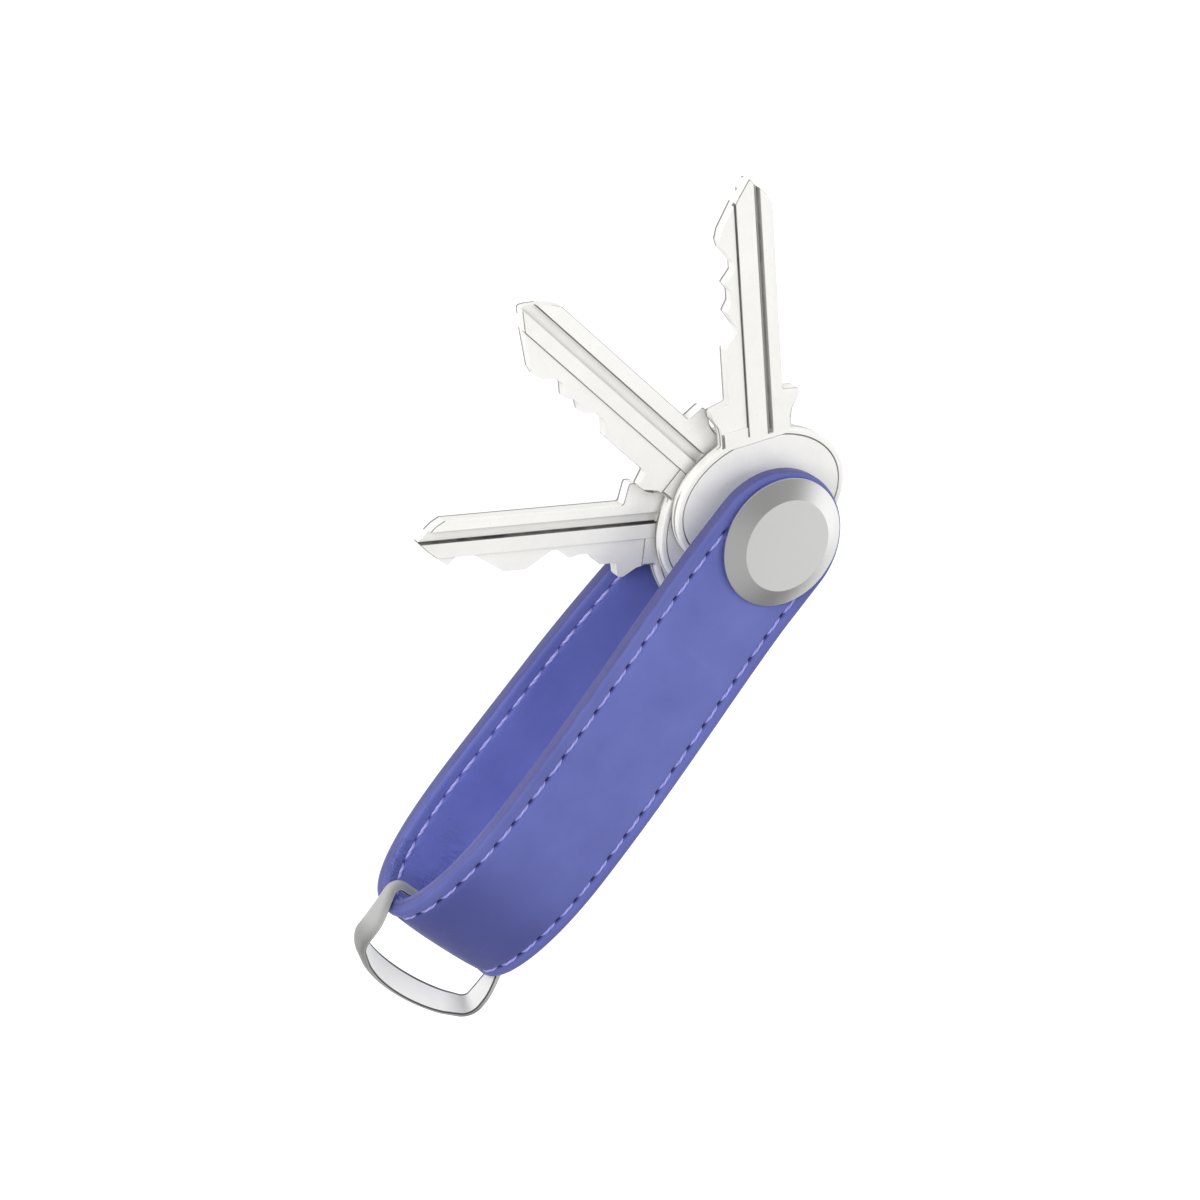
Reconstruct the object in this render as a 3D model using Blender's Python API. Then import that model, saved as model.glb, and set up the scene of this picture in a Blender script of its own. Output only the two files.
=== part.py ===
"""Key organizer: a folded leather strap clamped by a screwed post, three keys
that turn on the post, and a flat D-ring in the fold.

Metres, +Z up through the stack. The origin is the post's axis on the rear
disc's outer face. The strap runs from the post towards -X.
"""
import math

import bmesh
import bpy
from mathutils import Matrix, Vector

MM = 0.001

# ---------------------------------------------------------------- strap
STRAP_HALF_W = 10.3
END_CX = -0.7            # centre of the rounded ends
NEAR_Z = 15.2            # outer face of the near limb at the post
FAR_Z = 1.85             # outer face of the far limb at the post
LAYER = 0.95             # each leather
CORE = 0.20
LAYER_GAP = 0.05
FOLD_X = -70.0           # outermost point of the fold
FOLD_Z = 9.6
NEAR_FOLD_A = 20.0
NEAR_FOLD_N = 2.1
NEAR_BULGE = 2.45
NEAR_BULGE_LEN = 42.0
NEAR_BULGE_EXP = 1.4
FAR_FOLD_A = 24.0
FAR_FOLD_N = 2.8
FAR_BULGE = 1.5
FAR_BULGE_LEN = 24.0
FAR_BULGE_EXP = 1.15
BULGE_FROM = 8.0
STRAP_HOLE_R = 2.9

# ---------------------------------------------------------------- stitches
SEAM_Y = 8.25
STITCH_PITCH = 3.6
STITCH_LEN = 2.6
STITCH_W = 0.5
STITCH_H = 0.2
LINK_W = 0.26
LINK_H = 0.07
HOVER = 0.05
SEAM_START_X = -4.3

# ---------------------------------------------------------------- discs and post
DISC_R = 9.0
DISC_FACE_R = 6.4
DISC_T = 1.75
DISC_RIM = 0.5
FRONT_DISC_Z = 15.25
TOP_Z = 17.0
FLANGE_R = 5.0
FLANGE_T = 0.8
SLEEVE_R = 2.7
SLEEVE_END_Z = 2.3
BORE_R = 1.65
BORE_TOP_Z = 14.5
SCREW_R = 1.5
SCREW_END_Z = 12.0
HEAD_R = 4.2
HEAD_Z0 = 0.9
HEAD_Z1 = 1.7
SPANNER_R = 5.4
SPANNER_HOLE_R = 0.8
SPANNER_DEPTH = 1.0

# ---------------------------------------------------------------- stack between the limbs
REAR_WASHER = (4.10, 4.45, 6.2)
KEY_T = 1.95
KEY_BOTTOM_Z = 4.50
LOWER_SPACER = (6.50, 6.75, 4.6)
KEY_MIDDLE_Z = 6.80
UPPER_SPACER = (8.80, 9.05, 4.6)
KEY_TOP_Z = 9.10
FRONT_SPACER = (11.10, 12.55, 6.6)
FRONT_WASHER = (12.60, 12.95, 7.2)
STACK_BORE_R = 2.85

# ---------------------------------------------------------------- keys
BOW_C = 4.5
BOW_A = 9.8
BOW_B = 13.0
NECK_HALF = 5.3
NECK_END = 15.0
SHOULDER_HALF = 6.6
SHOULDER_0 = 18.0
SHOULDER_1 = 18.9
BLADE_0 = 19.4
TIP = 50.4
KEY_HOLE_R = 3.0
KEY_HOLE_R_OFF = 3.2
GROOVE_D = 0.6
MILL_0, MILL_D = 1.35, 0.2
BACK_0, BACK_1, BACK_D = 0.1, 1.2, 0.6

# each key: turned from +X, side offset, nose (tip, its height, length of the curve behind it, blade
# half width on the cut side and on the back), where the nose meets the belly, belly, groove, cuts as (along, level,
# flat), peaks between the cuts as (from, to, level), and where the blade is whole again
KEY_TOP = (49.7, 0.0, (49.2, -1.0, 1.0, 3.9, 4.15), (43.2, 3.4), ((41.9, 3.82), (40.8, 3.6)), (-2.4, -1.5),
           ((37.9, 1.95, 1.2), (34.0, 2.6, 1.5), (29.2, 2.0, 0.8)), ((35.95, 35.75, 3.3), (32.1, 31.9, 3.4)), 27.0)
KEY_MIDDLE = (89.3, -0.4, (50.4, -0.6, 1.12, 4.6, 4.1), (43.6, 4.3), ((42.4, 4.6), (41.4, 4.4)), (-2.1, -0.5),
              ((38.9, 3.1, 1.4), (35.1, 3.65, 1.1), (30.6, 3.05, 1.8)), ((36.9, 36.5, 4.2), (33.6, 33.1, 4.2)), 28.0)
KEY_BOTTOM = (127.5, 0.2, (49.0, -0.8, 0.8, 4.5, 3.7), (44.6, 2.6), (), (-2.3, -0.75),
              ((42.2, 1.45, 2.6), (29.0, 1.85, 0.9), (24.4, 2.8, 1.5)), ((36.2, 33.0, 4.15), (26.8, 26.4, 3.1)), 21.9)

# ---------------------------------------------------------------- D-ring
RING_X = -66.27          # the bar's axis, along Y
RING_Z = 9.15
RING_B = 22.9            # between the legs' centre lines at the bar
RING_H2 = 11.3           # half that distance where the arc begins
RING_L = 8.96
RING_SAG = 3.0
RING_CORNER = 2.5
RING_BAR_CORNER = 1.6
RING_T = 1.3             # strip: flat inside, domed outside
RING_W = 3.7
RING_BAR_W = 1.5         # the strip narrows to this at the bar
RING_TAPER = 7.0
RING_A0, RING_A1 = -12.0, 53.0    # seen from the side the ring is bowed: below -X at the bar and at the arc
RING_BOW_0, RING_BOW_1 = 3.9, 14.1

COL = {
    "leather": (0.235, 0.235, 0.50, 1.0),
    "lining": (0.24, 0.235, 0.47, 1.0),
    "core": (0.72, 0.70, 0.66, 1.0),
    "thread": (0.62, 0.62, 0.80, 1.0),
    "steel": (0.56, 0.56, 0.55, 1.0),
    "nickel": (0.72, 0.70, 0.66, 1.0),
    "nylon": (0.86, 0.86, 0.84, 1.0),
    "brass": (0.72, 0.56, 0.27, 1.0),
}


def material(name, rgba, metal, rough):
    m = bpy.data.materials.new(name)
    m.use_nodes = True
    b = m.node_tree.nodes["Principled BSDF"]
    b.inputs["Base Color"].default_value = rgba
    b.inputs["Metallic"].default_value = metal
    b.inputs["Roughness"].default_value = rough
    m.diffuse_color = rgba
    return m


def new_object(name, bm, mat, smooth=False):
    bmesh.ops.recalc_face_normals(bm, faces=bm.faces)
    me = bpy.data.meshes.new(name)
    bm.to_mesh(me)
    bm.free()
    ob = bpy.data.objects.new(name, me)
    bpy.context.scene.collection.objects.link(ob)
    me.materials.append(material(name + "_mat", *mat))
    for p in me.polygons:
        p.use_smooth = smooth
    return ob


def cutter(name, bm):
    bmesh.ops.recalc_face_normals(bm, faces=bm.faces)
    me = bpy.data.meshes.new(name)
    bm.to_mesh(me)
    bm.free()
    ob = bpy.data.objects.new(name, me)
    bpy.context.scene.collection.objects.link(ob)
    ob.hide_render = True
    ob.display_type = "WIRE"
    return ob


def cut(ob, tool):
    m = ob.modifiers.new("cut_" + tool.name, "BOOLEAN")
    m.operation = "DIFFERENCE"
    m.solver = "EXACT"
    m.object = tool
    return m


# ---------------------------------------------------------------- turned parts
def lathe_bm(profile, n=72, centre=(0.0, 0.0)):
    """A closed solid turned about Z. The profile runs from the axis or an inner
    wall round to the other end, as (r, z) in mm."""
    bm = bmesh.new()
    rings = []
    for r, z in profile:
        if r < 1e-6:
            rings.append([bm.verts.new((centre[0] * MM, centre[1] * MM, z * MM))])
        else:
            rings.append([bm.verts.new(((centre[0] + r * math.cos(2 * math.pi * k / n)) * MM,
                                        (centre[1] + r * math.sin(2 * math.pi * k / n)) * MM,
                                        z * MM)) for k in range(n)])
    closed = profile[0][0] > 1e-6
    pairs = list(zip(rings[:-1], rings[1:]))
    if closed:
        pairs.append((rings[-1], rings[0]))
    for a, b in pairs:
        for k in range(n):
            j = (k + 1) % n
            if len(a) == 1:
                bm.faces.new((a[0], b[j], b[k]))
            elif len(b) == 1:
                bm.faces.new((a[k], a[j], b[0]))
            else:
                bm.faces.new((a[k], a[j], b[j], b[k]))
    return bm


def ring_profile(z0, z1, r_in, r_out, c=0.1):
    return [(r_in, z0), (r_out - c, z0), (r_out, z0 + c), (r_out, z1 - c),
            (r_out - c, z1), (r_in, z1)]


def cylinder_bm(r, z0, z1, n=48, centre=(0.0, 0.0)):
    return lathe_bm([(0, z0), (r, z0), (r, z1), (0, z1)], n, centre)


# ---------------------------------------------------------------- strap path
def near_top(x):
    u = min(max((-x - BULGE_FROM) / NEAR_BULGE_LEN, 0.0), 1.0)
    return NEAR_Z + NEAR_BULGE * math.sin(math.pi * u / 2) ** NEAR_BULGE_EXP


def far_low(x):
    u = min(max((-x - BULGE_FROM) / FAR_BULGE_LEN, 0.0), 1.0)
    return FAR_Z - FAR_BULGE * math.sin(math.pi * u / 2) ** FAR_BULGE_EXP


def strap_path():
    """Outer face of the strap seen from the side, dense, from the near rounded
    end round the fold to the far rounded end: (x, z) in mm."""
    pts = []
    tip = END_CX + STRAP_HALF_W
    xn = FOLD_X + NEAR_FOLD_A
    for k in range(121):
        x = tip + (xn - tip) * k / 120.0
        pts.append((x, near_top(x)))
    b = near_top(xn) - FOLD_Z
    for k in range(1, 81):
        t = 0.5 * math.pi * k / 80.0
        pts.append((xn - NEAR_FOLD_A * math.sin(t) ** (2 / NEAR_FOLD_N),
                    FOLD_Z + b * math.cos(t) ** (2 / NEAR_FOLD_N)))
    xf = FOLD_X + FAR_FOLD_A
    b = FOLD_Z - far_low(xf)
    for k in range(79, -1, -1):
        t = 0.5 * math.pi * k / 80.0
        pts.append((xf - FAR_FOLD_A * math.sin(t) ** (2 / FAR_FOLD_N),
                    FOLD_Z - b * math.cos(t) ** (2 / FAR_FOLD_N)))
    for k in range(1, 121):
        x = xf + (tip - xf) * k / 120.0
        pts.append((x, far_low(x)))
    return pts


class Path:
    """Arc-length view of the strap's outer face, with smoothed inward normals."""

    def __init__(self):
        self.p = strap_path()
        self.s = [0.0]
        for a, b in zip(self.p[:-1], self.p[1:]):
            self.s.append(self.s[-1] + math.hypot(b[0] - a[0], b[1] - a[1]))
        self.length = self.s[-1]

    def at(self, s):
        s = min(max(s, 0.0), self.length)
        lo, hi = 0, len(self.s) - 1
        while hi - lo > 1:
            m = (lo + hi) // 2
            if self.s[m] <= s:
                lo = m
            else:
                hi = m
        f = (s - self.s[lo]) / (self.s[hi] - self.s[lo])
        a, b = self.p[lo], self.p[hi]
        return a[0] + (b[0] - a[0]) * f, a[1] + (b[1] - a[1]) * f

    def frame(self, s, h=0.9):
        x, z = self.at(s)
        a, b = self.at(s - h), self.at(s + h)
        tx, tz = b[0] - a[0], b[1] - a[1]
        ln = math.hypot(tx, tz)
        tx, tz = tx / ln, tz / ln
        # the path runs to -X on top, so its left side is the inside
        return x, z, tx, tz, -tz, tx

    def offset(self, s, d):
        x, z, tx, tz, nx, nz = self.frame(s)
        return x + nx * d, z + nz * d

    def s_at_x(self, x, far=False):
        rng = range(len(self.p) - 1)
        if far:
            rng = reversed(rng)
        for k in rng:
            x0, x1 = self.p[k][0], self.p[k + 1][0]
            if min(x0, x1) <= x <= max(x0, x1) and x0 != x1:
                return self.s[k] + (self.s[k + 1] - self.s[k]) * (x - x0) / (x1 - x0)
        return 0.0


PATH = Path()


def strap_stations():
    """Path positions for the leather layers: fine at the rounded ends and in the
    fold, coarser between. Both ends follow a regular polygon."""
    out = []
    n_end = 12
    for k in range(n_end):
        a = math.radians(90.0 * (k + 0.5) / n_end)
        out.append((PATH.s_at_x(END_CX + STRAP_HALF_W * math.cos(a)), STRAP_HALF_W * math.sin(a)))
    for x in [-3.0 - 3.0 * k for k in range(16)]:
        out.append((PATH.s_at_x(x), STRAP_HALF_W))
    s0 = out[-1][0]
    s1 = PATH.s_at_x(-46.0, far=True)
    n = 30
    for k in range(1, n + 1):
        out.append((s0 + (s1 - s0) * k / n, STRAP_HALF_W))
    for x in [-43.0 + 3.0 * k for k in range(14)]:
        out.append((PATH.s_at_x(x, far=True), STRAP_HALF_W))
    for k in range(n_end - 1, -1, -1):
        a = math.radians(90.0 * (k + 0.5) / n_end)
        out.append((PATH.s_at_x(END_CX + STRAP_HALF_W * math.cos(a), far=True), STRAP_HALF_W * math.sin(a)))
    return out


def strap_layer(name, d0, d1, mat, soft_outer=0.0, soft_inner=0.0, inset=0.0):
    """One layer of the strap between depths d0 and d1 under the outer face. The
    edge on the side that shows is broken by soft_outer or soft_inner."""
    bm = bmesh.new()
    rows = []
    for s, h in strap_stations():
        h = max(h - inset, 0.25)
        if soft_outer:
            c = min(soft_outer, 0.45 * h)
            sect = [(-h, d1), (-h, d0 + soft_outer), (-h + 0.3 * c, d0 + 0.3 * soft_outer), (-h + c, d0),
                    (h - c, d0), (h - 0.3 * c, d0 + 0.3 * soft_outer), (h, d0 + soft_outer), (h, d1)]
        elif soft_inner:
            c = min(soft_inner, 0.45 * h)
            sect = [(-h, d0), (h, d0), (h, d1 - soft_inner), (h - 0.3 * c, d1 - 0.3 * soft_inner), (h - c, d1),
                    (-h + c, d1), (-h + 0.3 * c, d1 - 0.3 * soft_inner), (-h, d1 - soft_inner)]
        else:
            sect = [(-h, d0), (h, d0), (h, d1), (-h, d1)]
        row = []
        for y, d in sect:
            x, z = PATH.offset(s, d)
            row.append(bm.verts.new((x * MM, y * MM, z * MM)))
        rows.append(row)
    n = len(rows[0])
    for a, b in zip(rows[:-1], rows[1:]):
        for k in range(n):
            j = (k + 1) % n
            bm.faces.new((a[k], a[j], b[j], b[k]))
    bm.faces.new(rows[0])
    bm.faces.new(list(reversed(rows[-1])))
    return new_object(name, bm, mat)


def seam(name, y, base, side, s_list, length, mat):
    """One run of thread: a raised bar at each stitch, and between two stitches
    the thin part that is seen where the thread goes down its hole. base is the
    depth of the leather's surface, side +1 on the outer face, -1 on the inner."""
    bm = bmesh.new()
    rings = []
    for s in s_list:
        for off, w, h in ((-0.5 * length - 0.12, LINK_W, LINK_H), (-0.5 * length + 0.25, STITCH_W * 0.86, STITCH_H),
                          (0.0, STITCH_W, STITCH_H), (0.5 * length - 0.25, STITCH_W * 0.86, STITCH_H),
                          (0.5 * length + 0.12, LINK_W, LINK_H)):
            d_low, d_high = base - side * HOVER, base - side * (HOVER + h)
            ring = []
            for dy, d in ((-0.5 * w, d_low), (0.5 * w, d_low), (0.5 * w, d_high), (-0.5 * w, d_high)):
                x, z = PATH.offset(s + off, d)
                ring.append(bm.verts.new((x * MM, (y + dy) * MM, z * MM)))
            rings.append(ring)
    for a, b in zip(rings[:-1], rings[1:]):
        for k in range(4):
            j = (k + 1) % 4
            bm.faces.new((a[k], a[j], b[j], b[k]))
    bm.faces.new(rings[0])
    bm.faces.new(list(reversed(rings[-1])))
    return new_object(name, bm, mat)


def seam_positions():
    s0 = PATH.s_at_x(SEAM_START_X) + 0.5 * STITCH_LEN
    s1 = PATH.s_at_x(SEAM_START_X, far=True) - 0.5 * STITCH_LEN
    n = int(round((s1 - s0) / STITCH_PITCH))
    return [s0 + (s1 - s0) * k / n for k in range(n + 1)]


# ---------------------------------------------------------------- keys
def key_outline(nose, meet, belly, cuts, peaks, whole):
    tip, tip_y, nl, half, back = nose
    pts = []
    t0 = math.asin(NECK_HALF / BOW_B)
    n = 40
    for k in range(n + 1):
        t = t0 + (2 * math.pi - 2 * t0) * k / n
        pts.append((BOW_C + BOW_A * math.cos(t), BOW_B * math.sin(t)))
    pts.append((NECK_END, -NECK_HALF))
    pts.append((NECK_END + 1.2, -NECK_HALF - 0.2))
    pts.append((SHOULDER_0, -SHOULDER_HALF))
    pts.append((SHOULDER_1, -SHOULDER_HALF))
    pts.append((BLADE_0, -back))
    pts += [(tip - 4.1 * nl, -back), (tip - 2.7 * nl, -0.82 * back), (tip - 1.6 * nl, -0.58 * back),
            (tip - 0.7 * nl, -0.36 * back), (tip, tip_y)]
    k = 0.36
    pts.append((tip + (meet[0] - tip) * k, tip_y + (meet[1] - tip_y) * k + 0.15))
    pts.append(meet)
    pts += belly
    for i, (x, lvl, flat) in enumerate(cuts):
        pts.append((x + 0.5 * flat, lvl))
        pts.append((x - 0.5 * flat, lvl))
        if i < len(peaks):
            pts.append((peaks[i][0], peaks[i][2]))
            pts.append((peaks[i][1], peaks[i][2]))
    pts.append((whole, half))
    pts.append((BLADE_0, half))
    pts.append((SHOULDER_1, SHOULDER_HALF))
    pts.append((SHOULDER_0, SHOULDER_HALF))
    pts.append((NECK_END + 1.2, NECK_HALF + 0.2))
    pts.append((NECK_END, NECK_HALF))
    return pts


def box_bm(lo, hi):
    bm = bmesh.new()
    v = [bm.verts.new((x * MM, y * MM, z * MM)) for z in (lo[2], hi[2])
         for x, y in ((lo[0], lo[1]), (hi[0], lo[1]), (hi[0], hi[1]), (lo[0], hi[1]))]
    for f in ((3, 2, 1, 0), (4, 5, 6, 7), (0, 1, 5, 4), (1, 2, 6, 5), (2, 3, 7, 6), (3, 0, 4, 7)):
        bm.faces.new([v[i] for i in f])
    return bm


def key(name, spec, z0, mat):
    turn, side, nose, meet, belly, groove, cuts, peaks, whole = spec
    z1 = z0 + KEY_T
    out = key_outline(nose, meet, belly, cuts, peaks, whole)
    bm = bmesh.new()
    wl = bm.edges.layers.float.new("bevel_weight_edge")
    lo = [bm.verts.new((x * MM, (y + side) * MM, z0 * MM)) for x, y in out]
    hi = [bm.verts.new((x * MM, (y + side) * MM, z1 * MM)) for x, y in out]
    n = len(out)
    bm.faces.new(list(reversed(lo)))
    bm.faces.new(hi)
    for k in range(n):
        j = (k + 1) % n
        bm.faces.new((lo[k], lo[j], hi[j], hi[k]))
        if out[k][0] < NECK_END + 0.1 and out[j][0] < NECK_END + 0.1:
            bm.edges.get((lo[k], lo[j]))[wl] = 1.0
            bm.edges.get((hi[k], hi[j]))[wl] = 1.0
    ob = new_object(name, bm, mat)
    b = ob.modifiers.new("bow_edge", "BEVEL")
    b.limit_method = "WEIGHT"
    b.width = 0.35 * MM
    b.segments = 2
    tools = [
        cylinder_bm(KEY_HOLE_R_OFF if side else KEY_HOLE_R, z0 - 1, z1 + 1, 48, (0.0, side)),
        box_bm((13.5, groove[0] + side, z1 - GROOVE_D), (TIP + 3, groove[1] + side, z1 + 1)),
        box_bm((15.4, MILL_0 + side, z1 - MILL_D), (TIP + 3, 5.6 + side, z1 + 1)),
        box_bm((17.0, BACK_0 + side, z0 - 1), (TIP + 3, BACK_1 + side, z0 + BACK_D)),
    ]
    rot = Matrix.Rotation(math.radians(turn), 4, "Z")
    for k, t in enumerate(tools):
        c = cutter("%s_cut_%d" % (name, k), t)
        c.matrix_world = rot
        cut(ob, c)
    ob.matrix_world = rot
    return ob


# ---------------------------------------------------------------- D-ring
def fillet(p0, p1, p2, r, m):
    a = (Vector(p0) - Vector(p1)).normalized()
    b = (Vector(p2) - Vector(p1)).normalized()
    th = a.angle(b)
    d = r / math.tan(th / 2)
    s, e = Vector(p1) + a * d, Vector(p1) + b * d
    cen = Vector(p1) + (a + b).normalized() * (r / math.sin(th / 2))
    a0 = math.atan2(s.y - cen.y, s.x - cen.x)
    a1 = math.atan2(e.y - cen.y, e.x - cen.x)
    da = (a1 - a0 + math.pi) % (2 * math.pi) - math.pi
    return [(cen.x + r * math.cos(a0 + da * k / (m - 1)), cen.y + r * math.sin(a0 + da * k / (m - 1)))
            for k in range(m)]


def ring_centre_line():
    """The D's centre line, unrolled: (along the bar, away from the bar)."""
    h, h2 = RING_B / 2, RING_H2
    rr = (h2 * h2 + RING_SAG ** 2) / (2 * RING_SAG)
    cv = RING_L + RING_SAG - rr
    ph = math.asin(h2 / rr)
    right = [(4.0, 0.0), (8.0, 0.0)] + fillet((0, 0), (h, 0), (h2, RING_L), RING_BAR_CORNER, 6)
    right += [(h + (h2 - h) * y / RING_L, y) for y in (2.6, 3.6, 4.6, 5.5, 6.3)]
    first = (rr * math.sin(ph * 0.75), cv + rr * math.cos(ph * 0.75))
    right += fillet((h, 0), (h2, RING_L), first, RING_CORNER, 9)
    for k in range(9):
        a = ph * 0.66 * (1 - k / 9.0)
        right.append((rr * math.sin(a), cv + rr * math.cos(a)))
    left = [(-x, y) for x, y in reversed(right)]
    return [(0.0, 0.0)] + right + [(0.0, cv + rr)] + left


def ring_side(v):
    """Where a point at distance v from the bar lies in the side view, and the
    strip's direction there, as (x, z, angle below -X)."""
    x = z = 0.0
    n = 40
    a = math.radians(RING_A0)
    for k in range(n + 1):
        d = v * (k + 0.5) / n if k < n else v
        t = min(max((d - RING_BOW_0) / (RING_BOW_1 - RING_BOW_0), 0.0), 1.0)
        a = math.radians(RING_A0 + (RING_A1 - RING_A0) * t * t * (3 - 2 * t))
        if k < n:
            x -= math.cos(a) * v / n
            z -= math.sin(a) * v / n
    return x, z, a


def ring_section(w):
    """Across the strip, as (outward, along its width): flat inside, domed outside."""
    h, t = w / 2, RING_T
    return [(-0.5 * t, -h), (-0.15 * t, -h), (0.16 * t, -0.86 * h), (0.41 * t, -0.5 * h), (0.5 * t, 0.0),
            (0.41 * t, 0.5 * h), (0.16 * t, 0.86 * h), (-0.15 * t, h), (-0.5 * t, h)]


def d_ring(mat):
    c = ring_centre_line()
    n = len(c)
    bm = bmesh.new()
    rings = []
    for k in range(n):
        a, b = Vector(c[k - 1]), Vector(c[(k + 1) % n])
        t = (b - a).normalized()
        out_u, out_v = t.y, -t.x
        x, z, ang = ring_side(c[k][1])
        v = Vector((-math.cos(ang), 0.0, -math.sin(ang)))
        u = Vector((0.0, 1.0, 0.0))
        across = u.cross(v)
        s = min(max(c[k][1] / RING_TAPER, 0.0), 1.0)
        w = RING_BAR_W + (RING_W - RING_BAR_W) * s * s * (3 - 2 * s)
        ring = []
        for so, sw in ring_section(w):
            p = Vector((x, c[k][0], z)) + (u * out_u + v * out_v) * so + across * sw
            ring.append(bm.verts.new(p * MM))
        rings.append(ring)
    m = len(rings[0])
    for k in range(n):
        r0, r1 = rings[k], rings[(k + 1) % n]
        for i in range(m):
            j = (i + 1) % m
            bm.faces.new((r0[i], r0[j], r1[j], r1[i]))
    ob = new_object("d_ring", bm, mat)
    ob.location = (RING_X * MM, 0.0, RING_Z * MM)
    return ob


# ---------------------------------------------------------------- build
def build():
    for ob in list(bpy.data.objects):
        bpy.data.objects.remove(ob, do_unlink=True)

    leather = (COL["leather"], 0.0, 0.5)
    thread = (COL["thread"], 0.0, 0.7)
    steel = (COL["steel"], 1.0, 0.35)
    nickel = (COL["nickel"], 1.0, 0.3)

    d_lin0 = LAYER + CORE + 2 * LAYER_GAP
    d_all = d_lin0 + LAYER
    outer = strap_layer("strap_outer_leather", 0.0, LAYER, leather, soft_outer=0.3)
    core = strap_layer("strap_core", LAYER + LAYER_GAP, LAYER + LAYER_GAP + CORE,
                       (COL["core"], 0.0, 0.8), inset=0.4)
    lining = strap_layer("strap_lining_leather", d_lin0, d_all, (COL["lining"], 0.0, 0.6), soft_inner=0.3)
    hole = cutter("strap_hole", cylinder_bm(STRAP_HOLE_R, -2.0, 19.0, 48))
    for ob in (outer, core, lining):
        cut(ob, hole)

    pos = seam_positions()
    for tag, y in (("left", SEAM_Y), ("right", -SEAM_Y)):
        seam("needle_thread_" + tag, y, 0.0, 1, pos, STITCH_LEN, thread)
        seam("bobbin_thread_" + tag, y, d_all, -1, pos, STITCH_LEN, thread)

    fz = FRONT_DISC_Z
    new_object("front_disc", lathe_bm([
        (0, fz + 0.9), (FLANGE_R + 0.2, fz + 0.9), (FLANGE_R + 0.2, fz), (DISC_R - 0.1, fz),
        (DISC_R, fz + 0.1), (DISC_R, fz + DISC_RIM), (DISC_R - 0.08, fz + DISC_RIM + 0.06),
        (DISC_FACE_R + 0.1, TOP_Z - 0.05), (DISC_FACE_R - 0.05, TOP_Z), (0, TOP_Z)]), steel)
    fl0, fl1 = fz, fz + FLANGE_T
    new_object("barrel_post", lathe_bm([
        (0, BORE_TOP_Z), (BORE_R, BORE_TOP_Z), (BORE_R, SLEEVE_END_Z + 0.2), (BORE_R + 0.2, SLEEVE_END_Z),
        (SLEEVE_R - 0.15, SLEEVE_END_Z), (SLEEVE_R, SLEEVE_END_Z + 0.15), (SLEEVE_R, fl0),
        (FLANGE_R, fl0), (FLANGE_R, fl1), (0, fl1)], 48), steel)
    new_object("lock_screw", lathe_bm([
        (0, HEAD_Z0), (HEAD_R, HEAD_Z0), (HEAD_R, HEAD_Z1), (SCREW_R, HEAD_Z1),
        (SCREW_R, SCREW_END_Z - 0.4), (SCREW_R - 0.4, SCREW_END_Z), (0, SCREW_END_Z)], 48), steel)
    rear = new_object("rear_disc", lathe_bm([
        (0, 0), (DISC_FACE_R - 0.05, 0), (DISC_FACE_R + 0.1, 0.05), (DISC_R - 0.08, DISC_T - DISC_RIM - 0.06),
        (DISC_R, DISC_T - DISC_RIM), (DISC_R, DISC_T - 0.1), (DISC_R - 0.1, DISC_T),
        (HEAD_R + 0.2, DISC_T), (HEAD_R + 0.2, HEAD_Z0 - 0.05), (0, HEAD_Z0 - 0.05)]), steel)
    for k, sx in enumerate((-1, 1)):
        cut(rear, cutter("spanner_hole_%d" % k,
                         cylinder_bm(SPANNER_HOLE_R, -1.0, SPANNER_DEPTH, 32, (sx * SPANNER_R, 0.0))))
    new_object("rear_thrust_washer", lathe_bm(ring_profile(1.80, 2.20, 1.65, 2.6, 0.05), 48), (COL["brass"], 1.0, 0.35))
    new_object("rear_washer", lathe_bm(ring_profile(REAR_WASHER[0], REAR_WASHER[1], STACK_BORE_R, REAR_WASHER[2], 0.05), 48), steel)
    new_object("front_washer", lathe_bm(ring_profile(FRONT_WASHER[0], FRONT_WASHER[1], STACK_BORE_R, FRONT_WASHER[2], 0.05), 48), steel)
    new_object("key_spacer_lower", lathe_bm(ring_profile(LOWER_SPACER[0], LOWER_SPACER[1], STACK_BORE_R, LOWER_SPACER[2], 0.05), 48), (COL["brass"], 1.0, 0.35))
    new_object("key_spacer_upper", lathe_bm(ring_profile(UPPER_SPACER[0], UPPER_SPACER[1], STACK_BORE_R, UPPER_SPACER[2], 0.05), 48), (COL["brass"], 1.0, 0.35))
    new_object("front_spacer", lathe_bm(ring_profile(FRONT_SPACER[0], FRONT_SPACER[1], STACK_BORE_R, FRONT_SPACER[2], 0.15), 48), (COL["nylon"], 0.0, 0.5))

    key("key_top", KEY_TOP, KEY_TOP_Z, nickel)
    key("key_middle", KEY_MIDDLE, KEY_MIDDLE_Z, nickel)
    key("key_bottom", KEY_BOTTOM, KEY_BOTTOM_Z, nickel)
    d_ring(steel)


build()
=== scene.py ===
import math

import bmesh
import bpy
from mathutils import Matrix, Vector, noise


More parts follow.
